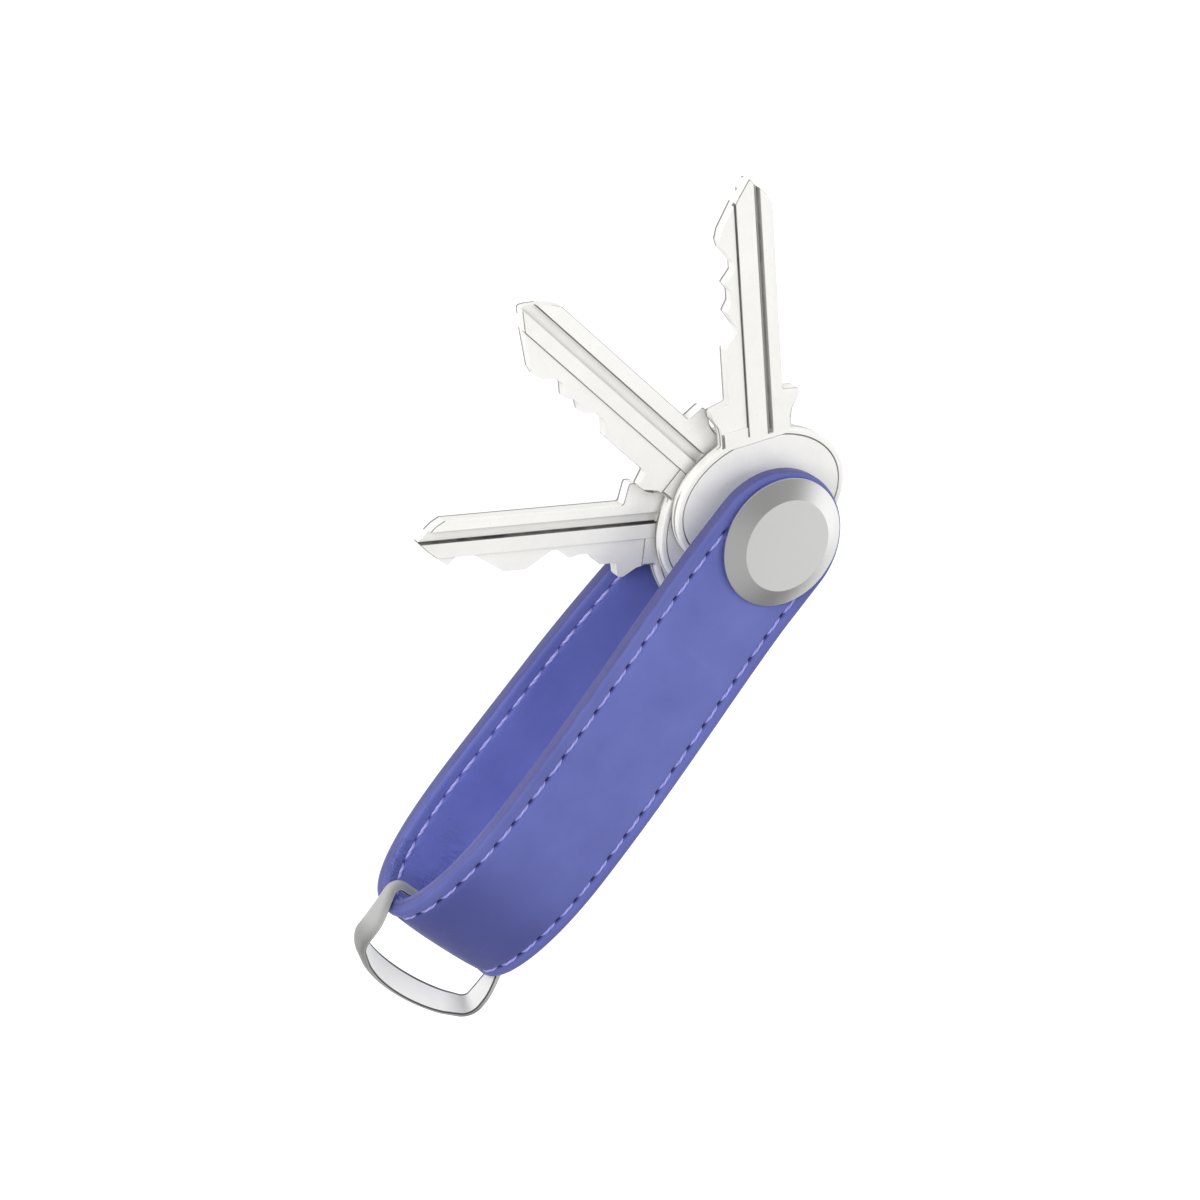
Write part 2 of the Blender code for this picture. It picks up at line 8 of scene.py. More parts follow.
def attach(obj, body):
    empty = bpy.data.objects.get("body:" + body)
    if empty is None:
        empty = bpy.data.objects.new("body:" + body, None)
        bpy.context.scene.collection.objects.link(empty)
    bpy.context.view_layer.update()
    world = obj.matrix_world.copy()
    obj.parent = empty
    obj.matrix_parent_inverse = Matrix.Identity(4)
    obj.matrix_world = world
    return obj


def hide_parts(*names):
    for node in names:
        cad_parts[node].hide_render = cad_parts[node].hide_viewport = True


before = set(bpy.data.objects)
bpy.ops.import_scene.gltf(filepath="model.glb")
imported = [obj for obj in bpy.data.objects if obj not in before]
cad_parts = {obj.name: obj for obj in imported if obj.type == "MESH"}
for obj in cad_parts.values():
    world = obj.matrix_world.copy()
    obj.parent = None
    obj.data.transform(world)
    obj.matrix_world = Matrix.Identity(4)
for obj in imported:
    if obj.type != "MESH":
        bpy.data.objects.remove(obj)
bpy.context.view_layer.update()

MM = 0.001

# ------------------------------------------------------------------ the strap's path, as in the CAD
HALF_W = 10.3
END_CX = -0.7             # centre of the rounded ends
NEAR_Z, FAR_Z = 15.2, 1.85
FOLD_X, FOLD_Z = -70.0, 9.6
NEAR_FOLD_A, NEAR_FOLD_N = 20.0, 2.1
NEAR_BULGE, NEAR_BULGE_LEN, NEAR_BULGE_EXP = 2.45, 42.0, 1.4
FAR_FOLD_A, FAR_FOLD_N = 24.0, 2.8
FAR_BULGE, FAR_BULGE_LEN, FAR_BULGE_EXP = 1.5, 24.0, 1.15
BULGE_FROM = 8.0
STRAP_T = 2.2
MID = 1.1                 # where outer leather and lining meet at the painted edge
HOLE_R = 2.9
SEAM_Y = 8.25
PITCH = 3.6
STITCH = 2.6
SEAM_START_X = -4.3


def near_top(x):
    u = min(max((-x - BULGE_FROM) / NEAR_BULGE_LEN, 0.0), 1.0)
    return NEAR_Z + NEAR_BULGE * math.sin(math.pi * u / 2) ** NEAR_BULGE_EXP


def far_low(x):
    u = min(max((-x - BULGE_FROM) / FAR_BULGE_LEN, 0.0), 1.0)
    return FAR_Z - FAR_BULGE * math.sin(math.pi * u / 2) ** FAR_BULGE_EXP


def strap_points():
    pts = []
    tip = END_CX + HALF_W
    xn = FOLD_X + NEAR_FOLD_A
    for k in range(241):
        x = tip + (xn - tip) * k / 240.0
        pts.append((x, near_top(x)))
    b = near_top(xn) - FOLD_Z
    for k in range(1, 161):
        t = 0.5 * math.pi * k / 160.0
        pts.append((xn - NEAR_FOLD_A * math.sin(t) ** (2 / NEAR_FOLD_N),
                    FOLD_Z + b * math.cos(t) ** (2 / NEAR_FOLD_N)))
    xf = FOLD_X + FAR_FOLD_A
    b = FOLD_Z - far_low(xf)
    for k in range(159, -1, -1):
        t = 0.5 * math.pi * k / 160.0
        pts.append((xf - FAR_FOLD_A * math.sin(t) ** (2 / FAR_FOLD_N),
                    FOLD_Z - b * math.cos(t) ** (2 / FAR_FOLD_N)))
    for k in range(1, 241):
        x = xf + (tip - xf) * k / 240.0
        pts.append((x, far_low(x)))
    return pts


class Path:
    """Arc length s along the outer face, and depth d under it, in mm."""

    def __init__(self):
        self.p = strap_points()
        self.s = [0.0]
        for a, b in zip(self.p[:-1], self.p[1:]):
            self.s.append(self.s[-1] + math.hypot(b[0] - a[0], b[1] - a[1]))
        self.length = self.s[-1]

    def at(self, s):
        s = min(max(s, 0.0), self.length)
        lo, hi = 0, len(self.s) - 1
        while hi - lo > 1:
            m = (lo + hi) // 2
            if self.s[m] <= s:
                lo = m
            else:
                hi = m
        f = (s - self.s[lo]) / (self.s[hi] - self.s[lo])
        a, b = self.p[lo], self.p[hi]
        return a[0] + (b[0] - a[0]) * f, a[1] + (b[1] - a[1]) * f

    def frame(self, s, h=1.2):
        x, z = self.at(s)
        a, b = self.at(s - h), self.at(s + h)
        tx, tz = b[0] - a[0], b[1] - a[1]
        ln = math.hypot(tx, tz)
        tx, tz = tx / ln, tz / ln
        return x, z, tx, tz, -tz, tx

    def s_at_x(self, x, far=False):
        rng = range(len(self.p) - 1)
        if far:
            rng = reversed(rng)
        for k in rng:
            x0, x1 = self.p[k][0], self.p[k + 1][0]
            if min(x0, x1) <= x <= max(x0, x1) and x0 != x1:
                return self.s[k] + (self.s[k + 1] - self.s[k]) * (x - x0) / (x1 - x0)
        return 0.0


PATH = Path()
S0 = PATH.s_at_x(SEAM_START_X) + 0.5 * STITCH
S1 = PATH.s_at_x(SEAM_START_X, far=True) - 0.5 * STITCH
N_ST = int(round((S1 - S0) / PITCH))
SEAM_S = [S0 + (S1 - S0) * k / N_ST for k in range(N_ST + 1)]
STEP = (S1 - S0) / N_ST
FOLD_S = 0.5 * (PATH.s_at_x(-69.9) + PATH.s_at_x(-69.9, far=True))


def smooth(a, b, x):
    t = min(max((x - a) / (b - a), 0.0), 1.0)
    return t * t * (3 - 2 * t)


def gauss(x, w):
    return math.exp(-(x / w) ** 2)


def nz(x, y, z):
    return noise.noise(Vector((x, y, z)))


# ------------------------------------------------------------------ materials
def nodes_of(name):
    m = bpy.data.materials.new(name)
    m.use_nodes = True
    nt = m.node_tree
    b = nt.nodes["Principled BSDF"]
    return m, nt, b


def node(nt, kind, **vals):
    n = nt.nodes.new(kind)
    for k, v in vals.items():
        if hasattr(n, k) and k not in n.inputs:
            setattr(n, k, v)
        else:
            n.inputs[k].default_value = v
    return n


def tex_noise(nt, vec, scale, detail=4.0, rough=0.55, distortion=0.0):
    n = nt.nodes.new("ShaderNodeTexNoise")
    n.inputs["Scale"].default_value = scale
    n.inputs["Detail"].default_value = detail
    n.inputs["Roughness"].default_value = rough
    n.inputs["Distortion"].default_value = distortion
    nt.links.new(vec, n.inputs["Vector"])
    return n


def ramp(nt, fac, stops):
    r = nt.nodes.new("ShaderNodeValToRGB")
    el = r.color_ramp.elements
    while len(el) > 1:
        el.remove(el[-1])
    el[0].position, el[0].color = stops[0][0], stops[0][1]
    for p, c in stops[1:]:
        e = el.new(p)
        e.color = c
    nt.links.new(fac, r.inputs["Fac"])
    return r


def mix_rgb(nt, fac, a, b, mode="MIX"):
    m = nt.nodes.new("ShaderNodeMix")
    m.data_type = "RGBA"
    m.blend_type = mode
    for sock, v in ((m.inputs[0], fac), (m.inputs[6], a), (m.inputs[7], b)):
        if hasattr(v, "is_output"):
            nt.links.new(v, sock)
        else:
            sock.default_value = v
    return m.outputs[2]


def math_node(nt, op, a, b=None, c=None, clamp=False):
    m = nt.nodes.new("ShaderNodeMath")
    m.operation = op
    m.use_clamp = clamp
    for i, v in enumerate((a, b, c)):
        if v is None:
            continue
        if hasattr(v, "is_output"):
            nt.links.new(v, m.inputs[i])
        else:
            m.inputs[i].default_value = v
    return m.outputs[0]


def attr(nt, name):
    a = nt.nodes.new("ShaderNodeAttribute")
    a.attribute_name = name
    return a


def bump(nt, b, height, strength, distance, normal=None):
    n = nt.nodes.new("ShaderNodeBump")
    n.inputs["Strength"].default_value = strength
    n.inputs["Distance"].default_value = distance
    nt.links.new(height, n.inputs["Height"])
    if normal is not None:
        nt.links.new(normal, n.inputs["Normal"])
    nt.links.new(n.outputs["Normal"], b.inputs["Normal"])
    return n.outputs["Normal"]


def rgb(r, g, b):
    """sRGB 0..255 to linear."""
    out = []
    for v in (r, g, b):
        v = v / 255.0
        out.append(v / 12.92 if v <= 0.04045 else ((v + 0.055) / 1.055) ** 2.4)
    return (out[0], out[1], out[2], 1.0)


def leather_material(name, base, dark, light, edge_col, hole_col, shade_col, rough=0.5, creases=0.0):
    m, nt, b = nodes_of(name)
    co = nt.nodes.new("ShaderNodeTexCoord").outputs["Object"]
    big = tex_noise(nt, co, 85.0, 3.0, 0.5)
    tone = ramp(nt, big.outputs["Fac"], [(0.32, dark), (0.5, base), (0.72, light)])
    mott = tex_noise(nt, co, 700.0, 4.0, 0.6)
    mott_f = math_node(nt, "MULTIPLY", math_node(nt, "SUBTRACT", mott.outputs["Fac"], 0.42), 0.45, clamp=True)
    col = mix_rgb(nt, mott_f, tone.outputs["Color"], light)
    grain = nt.nodes.new("ShaderNodeTexVoronoi")
    grain.feature = "DISTANCE_TO_EDGE"
    grain.inputs["Scale"].default_value = 2600.0
    grain.inputs["Randomness"].default_value = 1.0
    warp = tex_noise(nt, co, 900.0, 2.0, 0.5)
    wv = nt.nodes.new("ShaderNodeVectorMath")
    wv.operation = "MULTIPLY_ADD"
    nt.links.new(warp.outputs["Color"], wv.inputs[0])
    wv.inputs[1].default_value = (0.0006, 0.0006, 0.0006)
    nt.links.new(co, wv.inputs[2])
    nt.links.new(wv.outputs[0], grain.inputs["Vector"])
    pores = math_node(nt, "MULTIPLY", grain.outputs["Distance"], 3.0, clamp=True)
    pore_dark = math_node(nt, "MULTIPLY", math_node(nt, "SUBTRACT", 1.0, pores, clamp=True), 0.10)
    col = mix_rgb(nt, pore_dark, col, dark)
    # painted shade: strap_painted_shade darkens the colour towards shade_col
    shade_and_wear = math_node(nt, "MULTIPLY", attr(nt, "strap_painted_shade").outputs["Fac"], 0.75)
    col = mix_rgb(nt, shade_and_wear, col, shade_col)
    edge = attr(nt, "edge").outputs["Fac"]
    e_noise = tex_noise(nt, co, 420.0, 3.0, 0.6)
    e_col = mix_rgb(nt, e_noise.outputs["Fac"], edge_col[0], edge_col[1])
    col = mix_rgb(nt, edge, col, e_col)
    # painted shade in the needle holes
    dip = attr(nt, "dip").outputs["Fac"]
    col = mix_rgb(nt, dip, col, hole_col)
    nt.links.new(col, b.inputs["Base Color"])
    rr = math_node(nt, "MULTIPLY_ADD", mott.outputs["Fac"], 0.16, rough - 0.08)
    rr = math_node(nt, "MULTIPLY_ADD", dip, 0.3, rr)
    nt.links.new(rr, b.inputs["Roughness"])
    b.inputs["Specular IOR Level"].default_value = 0.30
    b.inputs["Sheen Weight"].default_value = 0.06
    b.inputs["Sheen Roughness"].default_value = 0.45
    b.inputs["Sheen Tint"].default_value = (0.75, 0.76, 1.0, 1.0)
    h = math_node(nt, "MULTIPLY_ADD", pores, 0.5, math_node(nt, "MULTIPLY", mott.outputs["Fac"], 0.8))
    keep = math_node(nt, "SUBTRACT", 1.0, math_node(nt, "MULTIPLY", edge, 0.75))
    h = math_node(nt, "MULTIPLY", h, keep)
    nrm = bump(nt, b, h, 0.35, 0.00005)
    if creases:
        cr = attr(nt, "crease").outputs["Fac"]
        mp = nt.nodes.new("ShaderNodeMapping")
        mp.inputs["Scale"].default_value = (1.0, 0.16, 1.0)
        nt.links.new(co, mp.inputs["Vector"])
        w = tex_noise(nt, mp.outputs["Vector"], 1500.0, 3.0, 0.6, 0.4)
        ridge = math_node(nt, "ABSOLUTE", math_node(nt, "SUBTRACT", w.outputs["Fac"], 0.5))
        patch = tex_noise(nt, co, 190.0, 2.0, 0.5)
        patch = math_node(nt, "MULTIPLY", math_node(nt, "SUBTRACT", patch.outputs["Fac"], 0.42, clamp=True), 4.0, clamp=True)
        ridge = math_node(nt, "MULTIPLY", math_node(nt, "MINIMUM", math_node(nt, "MULTIPLY", ridge, 7.0), 1.0), cr)
        ridge = math_node(nt, "MULTIPLY", ridge, patch)
        bump(nt, b, ridge, creases, 0.0004, nrm)
    return m


def thread_material(name, c0, c1, c2):
    m, nt, b = nodes_of(name)
    co = nt.nodes.new("ShaderNodeTexCoord").outputs["Object"]
    n = tex_noise(nt, co, 2500.0, 2.0, 0.5)
    ply = attr(nt, "ply").outputs["Fac"]
    c = mix_rgb(nt, n.outputs["Fac"], c0, c1)
    # painted shade in the grooves between the plies
    c = mix_rgb(nt, math_node(nt, "MULTIPLY", ply, 0.45), c, c2)
    nt.links.new(c, b.inputs["Base Color"])
    b.inputs["Roughness"].default_value = 0.55
    b.inputs["Sheen Weight"].default_value = 0.3
    b.inputs["Sheen Roughness"].default_value = 0.4
    bump(nt, b, n.outputs["Fac"], 0.3, 0.00004)
    return m


def steel_material(name, c0, c1, rough, metal=1.0, scratch=0.06, rings=False, rim=None, dome=None):
    """Satin metal: fine turned or blasted finish from stretched noise."""
    m, nt, b = nodes_of(name)
    tc = nt.nodes.new("ShaderNodeTexCoord")
    co = tc.outputs["Object"]
    fine = tex_noise(nt, co, 4200.0, 3.0, 0.6)
    cloud = tex_noise(nt, co, 160.0, 3.0, 0.55)
    col = mix_rgb(nt, cloud.outputs["Fac"], c0, c1)
    if rim:
        # painted shade: the ring's domed outer face is mixed towards a darker grey
        col = mix_rgb(nt, attr(nt, "dome").outputs["Fac"], col, dome)
        # painted shade: near black on the ring's outer corners and inside its right-hand corner
        col = mix_rgb(nt, attr(nt, "painted_corner_shade").outputs["Fac"], col, (0.10, 0.10, 0.098, 1))
        # painted shade and dark reflection: near black along the ring's rims
        col = mix_rgb(nt, attr(nt, "rim").outputs["Fac"], col, rim)
    nt.links.new(col, b.inputs["Base Color"])
    b.inputs["Metallic"].default_value = metal
    r = math_node(nt, "MULTIPLY_ADD", fine.outputs["Fac"], 0.12, rough - 0.06)
    r = math_node(nt, "MULTIPLY_ADD", cloud.outputs["Fac"], 0.06, r)
    nt.links.new(r, b.inputs["Roughness"])
    if rings:
        sx = nt.nodes.new("ShaderNodeSeparateXYZ")
        nt.links.new(co, sx.inputs[0])
        r2 = math_node(nt, "SQRT", math_node(nt, "ADD", math_node(nt, "POWER", sx.outputs[0], 2.0),
                                             math_node(nt, "POWER", sx.outputs[1], 2.0)))
        cmb = nt.nodes.new("ShaderNodeCombineXYZ")
        nt.links.new(math_node(nt, "MULTIPLY", r2, 9000.0), cmb.inputs[0])
        ring = tex_noise(nt, cmb.outputs[0], 1.0, 2.0, 0.7)
        h = math_node(nt, "MULTIPLY_ADD", ring.outputs["Fac"], 0.7, math_node(nt, "MULTIPLY", fine.outputs["Fac"], 0.5))
        bump(nt, b, h, scratch, 0.00003)
    else:
        bump(nt, b, fine.outputs["Fac"], scratch, 0.00003)
    return m


def key_material(name, shade_lines):
    """Bright nickel silver. The attribute kp holds along, across and height in the key's own frame;
    shade_lines are painted dark lines of shade and dark reflection along the edges of its grooves on the upper face as
    (across, half width, depth)."""
    m, nt, b = nodes_of(name)
    kp = attr(nt, "kp").outputs["Vector"]
    mp = nt.nodes.new("ShaderNodeMapping")
    mp.inputs["Scale"].default_value = (0.35, 6.0, 1.0)
    nt.links.new(kp, mp.inputs["Vector"])
    brush = tex_noise(nt, mp.outputs["Vector"], 1.0, 4.0, 0.65)
    cloud = tex_noise(nt, kp, 0.22, 4.0, 0.6, 0.6)
    speck = tex_noise(nt, kp, 2.3, 3.0, 0.55)
    c = mix_rgb(nt, cloud.outputs["Fac"], (0.76, 0.754, 0.725, 1), (0.87, 0.864, 0.835, 1))
    spots = math_node(nt, "MULTIPLY", math_node(nt, "SUBTRACT", speck.outputs["Fac"], 0.66, clamp=True), 3.0, clamp=True)
    c = mix_rgb(nt, spots, c, (0.42, 0.41, 0.39, 1))
    painted_edge_shade = attr(nt, "painted_edge_shade").outputs["Fac"]
    sx = nt.nodes.new("ShaderNodeSeparateXYZ")
    nt.links.new(kp, sx.inputs[0])
    on_blade = math_node(nt, "MULTIPLY", math_node(nt, "GREATER_THAN", sx.outputs[0], 14.0),
                         math_node(nt, "GREATER_THAN", sx.outputs[2], 1.2))
    for y, half, depth in shade_lines:
        off = math_node(nt, "ABSOLUTE", math_node(nt, "SUBTRACT", sx.outputs[1], y))
        ln = math_node(nt, "MULTIPLY", math_node(nt, "SUBTRACT", half + 0.05, off), 12.0, clamp=True)
        ln = math_node(nt, "MULTIPLY", ln, math_node(nt, "MULTIPLY_ADD", cloud.outputs["Fac"], 0.7, depth - 0.35, clamp=True))
        painted_edge_shade = math_node(nt, "MAXIMUM", painted_edge_shade, math_node(nt, "MULTIPLY", ln, on_blade))
    # painted shade: the marks and the groove lines darken the colour to near black, for shade in recesses and dark
    # reflections on edges
    c = mix_rgb(nt, painted_edge_shade, c, (0.045, 0.045, 0.043, 1))
    nt.links.new(c, b.inputs["Base Color"])
    b.inputs["Metallic"].default_value = 0.10
    r = math_node(nt, "MULTIPLY_ADD", brush.outputs["Fac"], 0.14, 0.24)
    r = math_node(nt, "MULTIPLY_ADD", cloud.outputs["Fac"], 0.10, r)
    r = math_node(nt, "MULTIPLY_ADD", painted_edge_shade, 0.25, r)
    nt.links.new(r, b.inputs["Roughness"])
    h = math_node(nt, "MULTIPLY_ADD", brush.outputs["Fac"], 0.6, math_node(nt, "MULTIPLY", cloud.outputs["Fac"], 1.6))
    bump(nt, b, h, 0.25, 0.00008)
    return m


def plain_material(name, c0, c1, rough, metal, scale=900.0, bump_s=0.1):
    m, nt, b = nodes_of(name)
    co = nt.nodes.new("ShaderNodeTexCoord").outputs["Object"]
    n = tex_noise(nt, co, scale, 4.0, 0.6)
    nt.links.new(mix_rgb(nt, n.outputs["Fac"], c0, c1), b.inputs["Base Color"])
    b.inputs["Metallic"].default_value = metal
    nt.links.new(math_node(nt, "MULTIPLY_ADD", n.outputs["Fac"], 0.14, rough - 0.07), b.inputs["Roughness"])
    bump(nt, b, n.outputs["Fac"], bump_s, 0.00004)
    return m


# the last colour of each leather is shade_col, the colour of its painted shade
LEATHER = leather_material("leather_face", rgb(94, 102, 171), rgb(89, 96, 164), rgb(101, 109, 178),
                           (rgb(72, 73, 124), rgb(82, 82, 132)), rgb(38, 35, 88), rgb(58, 61, 122), rough=0.5)
# painted light: the lining is a lighter copy of the face leather, making up for the shade it lies in
LINING = leather_material("leather_lining", rgb(112, 120, 194), rgb(104, 112, 185), rgb(120, 128, 202),
                          (rgb(72, 73, 124), rgb(82, 82, 132)), rgb(84, 86, 160), rgb(70, 74, 140), rough=0.56, creases=0.6)
THREAD = thread_material("thread_lavender", rgb(142, 142, 212), rgb(172, 172, 236), rgb(92, 88, 160))
# painted light: a lighter copy of the needle thread, making up for the shade on the lining side
THREAD_IN = thread_material("thread_lavender_inner", rgb(170, 170, 238), rgb(196, 196, 250), rgb(128, 124, 200))
DISC = steel_material("disc_satin", (0.62, 0.62, 0.615, 1), (0.66, 0.66, 0.655, 1), 0.30, scratch=0.04, rings=True)
# rim is the colour of the painted shade and dark reflection on the edges, dome that of the painted shade on the outer
# face
RING = steel_material("ring_satin", (0.90, 0.893, 0.855, 1), (0.95, 0.943, 0.905, 1), 0.40, metal=0.12, scratch=0.04,
                      rim=(0.06, 0.06, 0.058, 1), dome=(0.36, 0.36, 0.35, 1))
POST = steel_material("post_steel", (0.55, 0.55, 0.54, 1), (0.62, 0.62, 0.61, 1), 0.32, scratch=0.05)
# painted dark lines of shade and dark reflection along each key's groove edges
KEY_SHADE_LINES = {
    "key_top": ((1.35, 0.12, 0.85), (-2.28, 0.13, 0.7), (-1.9, 0.07, 0.5)),
    "key_middle": ((1.42, 0.05, 0.75), (-2.06, 0.06, 0.8), (-0.45, 0.02, 0.15)),
    "key_bottom": ((-0.80, 0.13, 0.95), (1.38, 0.02, 0.4), (-2.28, 0.02, 0.35)),
}
KEYM = {k: key_material("nickel_silver_" + k[4:], v) for k, v in KEY_SHADE_LINES.items()}
BRASS = plain_material("washer_brass", (0.62, 0.46, 0.2, 1), (0.72, 0.55, 0.26, 1), 0.32, 1.0)
NYLON = plain_material("spacer_nylon", (0.62, 0.62, 0.60, 1), (0.72, 0.72, 0.70, 1), 0.5, 0.0)
CORE = plain_material("core_film", (0.55, 0.53, 0.50, 1), (0.64, 0.62, 0.58, 1), 0.7, 0.0)


# ------------------------------------------------------------------ mesh helpers
def mesh_object(name, verts, faces, mat, attrs=None, sharp=None, smooth_faces=True):
    me = bpy.data.meshes.new(name)
    me.from_pydata([Vector(v) * MM for v in verts], [], faces)
    me.validate()
    bm = bmesh.new()
    bm.from_mesh(me)
    bmesh.ops.recalc_face_normals(bm, faces=bm.faces)
    bm.to_mesh(me)
    bm.free()
    for key, vals in (attrs or {}).items():
        kind = "FLOAT_VECTOR" if isinstance(vals[0], (tuple, list)) else "FLOAT"
        a = me.attributes.new(key, kind, "POINT")
        if kind == "FLOAT":
            a.data.foreach_set("value", vals)
        else:
            a.data.foreach_set("vector", [c for v in vals for c in v])
    ob = bpy.data.objects.new(name, me)
    bpy.context.scene.collection.objects.link(ob)
    me.materials.append(mat)
    me.polygons.foreach_set("use_smooth", [smooth_faces] * len(me.polygons))
    if sharp is not None and smooth_faces:
        me.set_sharp_from_angle(angle=math.radians(sharp))
    me.update()
    return ob


def tube_cutter(name, r, z0, z1, n=96, centre=(0.0, 0.0)):
    v, f = [], []
    for z in (z0, z1):
        for k in range(n):
            a = 2 * math.pi * k / n
            v.append((centre[0] + r * math.cos(a), centre[1] + r * math.sin(a), z))
    f.append(list(range(n))[::-1])
    f.append(list(range(n, 2 * n)))
    for k in range(n):
        j = (k + 1) % n
        f.append((k, j, n + j, n + k))
    return mesh_object(name, v, f, CORE, smooth_faces=False)


def prism_cutter(name, outline, z0, z1):
    n = len(outline)
    v = [(x, y, z0) for x, y in outline] + [(x, y, z1) for x, y in outline]
    f = [list(range(n))[::-1], list(range(n, 2 * n))]
    for k in range(n):
        j = (k + 1) % n
        f.append((k, j, n + j, n + k))
    return mesh_object(name, v, f, CORE, smooth_faces=False)


def subtract(ob, tools):
    """Cuts the tools out of ob, applied to its mesh, and removes them."""
    for t in tools:
        m = ob.modifiers.new("cut", "BOOLEAN")
        m.operation = "DIFFERENCE"
        m.solver = "EXACT"
        m.object = t
    dg = bpy.context.evaluated_depsgraph_get()
    me = bpy.data.meshes.new_from_object(ob.evaluated_get(dg))
    ob.modifiers.clear()
    old = ob.data
    ob.data = me
    bpy.data.meshes.remove(old)
    for t in tools:
        d = t.data
        bpy.data.objects.remove(t, do_unlink=True)
        bpy.data.meshes.remove(d)
    me.name = ob.name
    while len(me.materials) > 1:
        me.materials.pop(index=len(me.materials) - 1)
    return ob


# ------------------------------------------------------------------ leather
def strap_rows():
    """Stations along the path: (s, half width)."""
    rows = []
    n = 46
    for k in range(n):
        a = math.radians(1.0 + 89.0 * (k / (n - 1.0)) ** 1.15)
        x = END_CX + HALF_W * math.cos(a)
        rows.append((PATH.s_at_x(x), HALF_W * math.sin(a)))
    sa = PATH.s_at_x(END_CX)
    sb = PATH.s_at_x(END_CX, far=True)
    m = int((sb - sa) / 0.40)
    for k in range(1, m):
        rows.append((sa + (sb - sa) * k / m, HALF_W))
    tail = []
    for k in range(n):
        a = math.radians(1.0 + 89.0 * (k / (n - 1.0)) ** 1.15)
        x = END_CX + HALF_W * math.cos(a)
        tail.append((PATH.s_at_x(x, far=True), HALF_W * math.sin(a)))
    return rows + tail[::-1]


HALF_COLS = [0.0, 1.4, 2.8, 4.2, 5.4, 6.3, 7.0, 7.4, 7.65, 7.82, 7.95, 8.05, 8.15, 8.25, 8.35, 8.45, 8.55, 8.7,
             8.9, 9.1, 9.3, 9.5, 9.68, 9.82, 9.94, 10.04, 10.12, 10.19, 10.24, 10.275, 10.3]
COLS = [-y for y in HALF_COLS[:0:-1]] + HALF_COLS


def seam_near(s):
    """Distance along the seam to the nearest needle hole, and whether the seam runs here."""
    u = (s - S0) / STEP + 0.5
    k = round(u)
    on = smooth(S0 - 0.9 * STEP, S0 - 0.45 * STEP, s) * (1 - smooth(S1 + 0.45 * STEP, S1 + 0.9 * STEP, s))
    return (u - k) * STEP, on


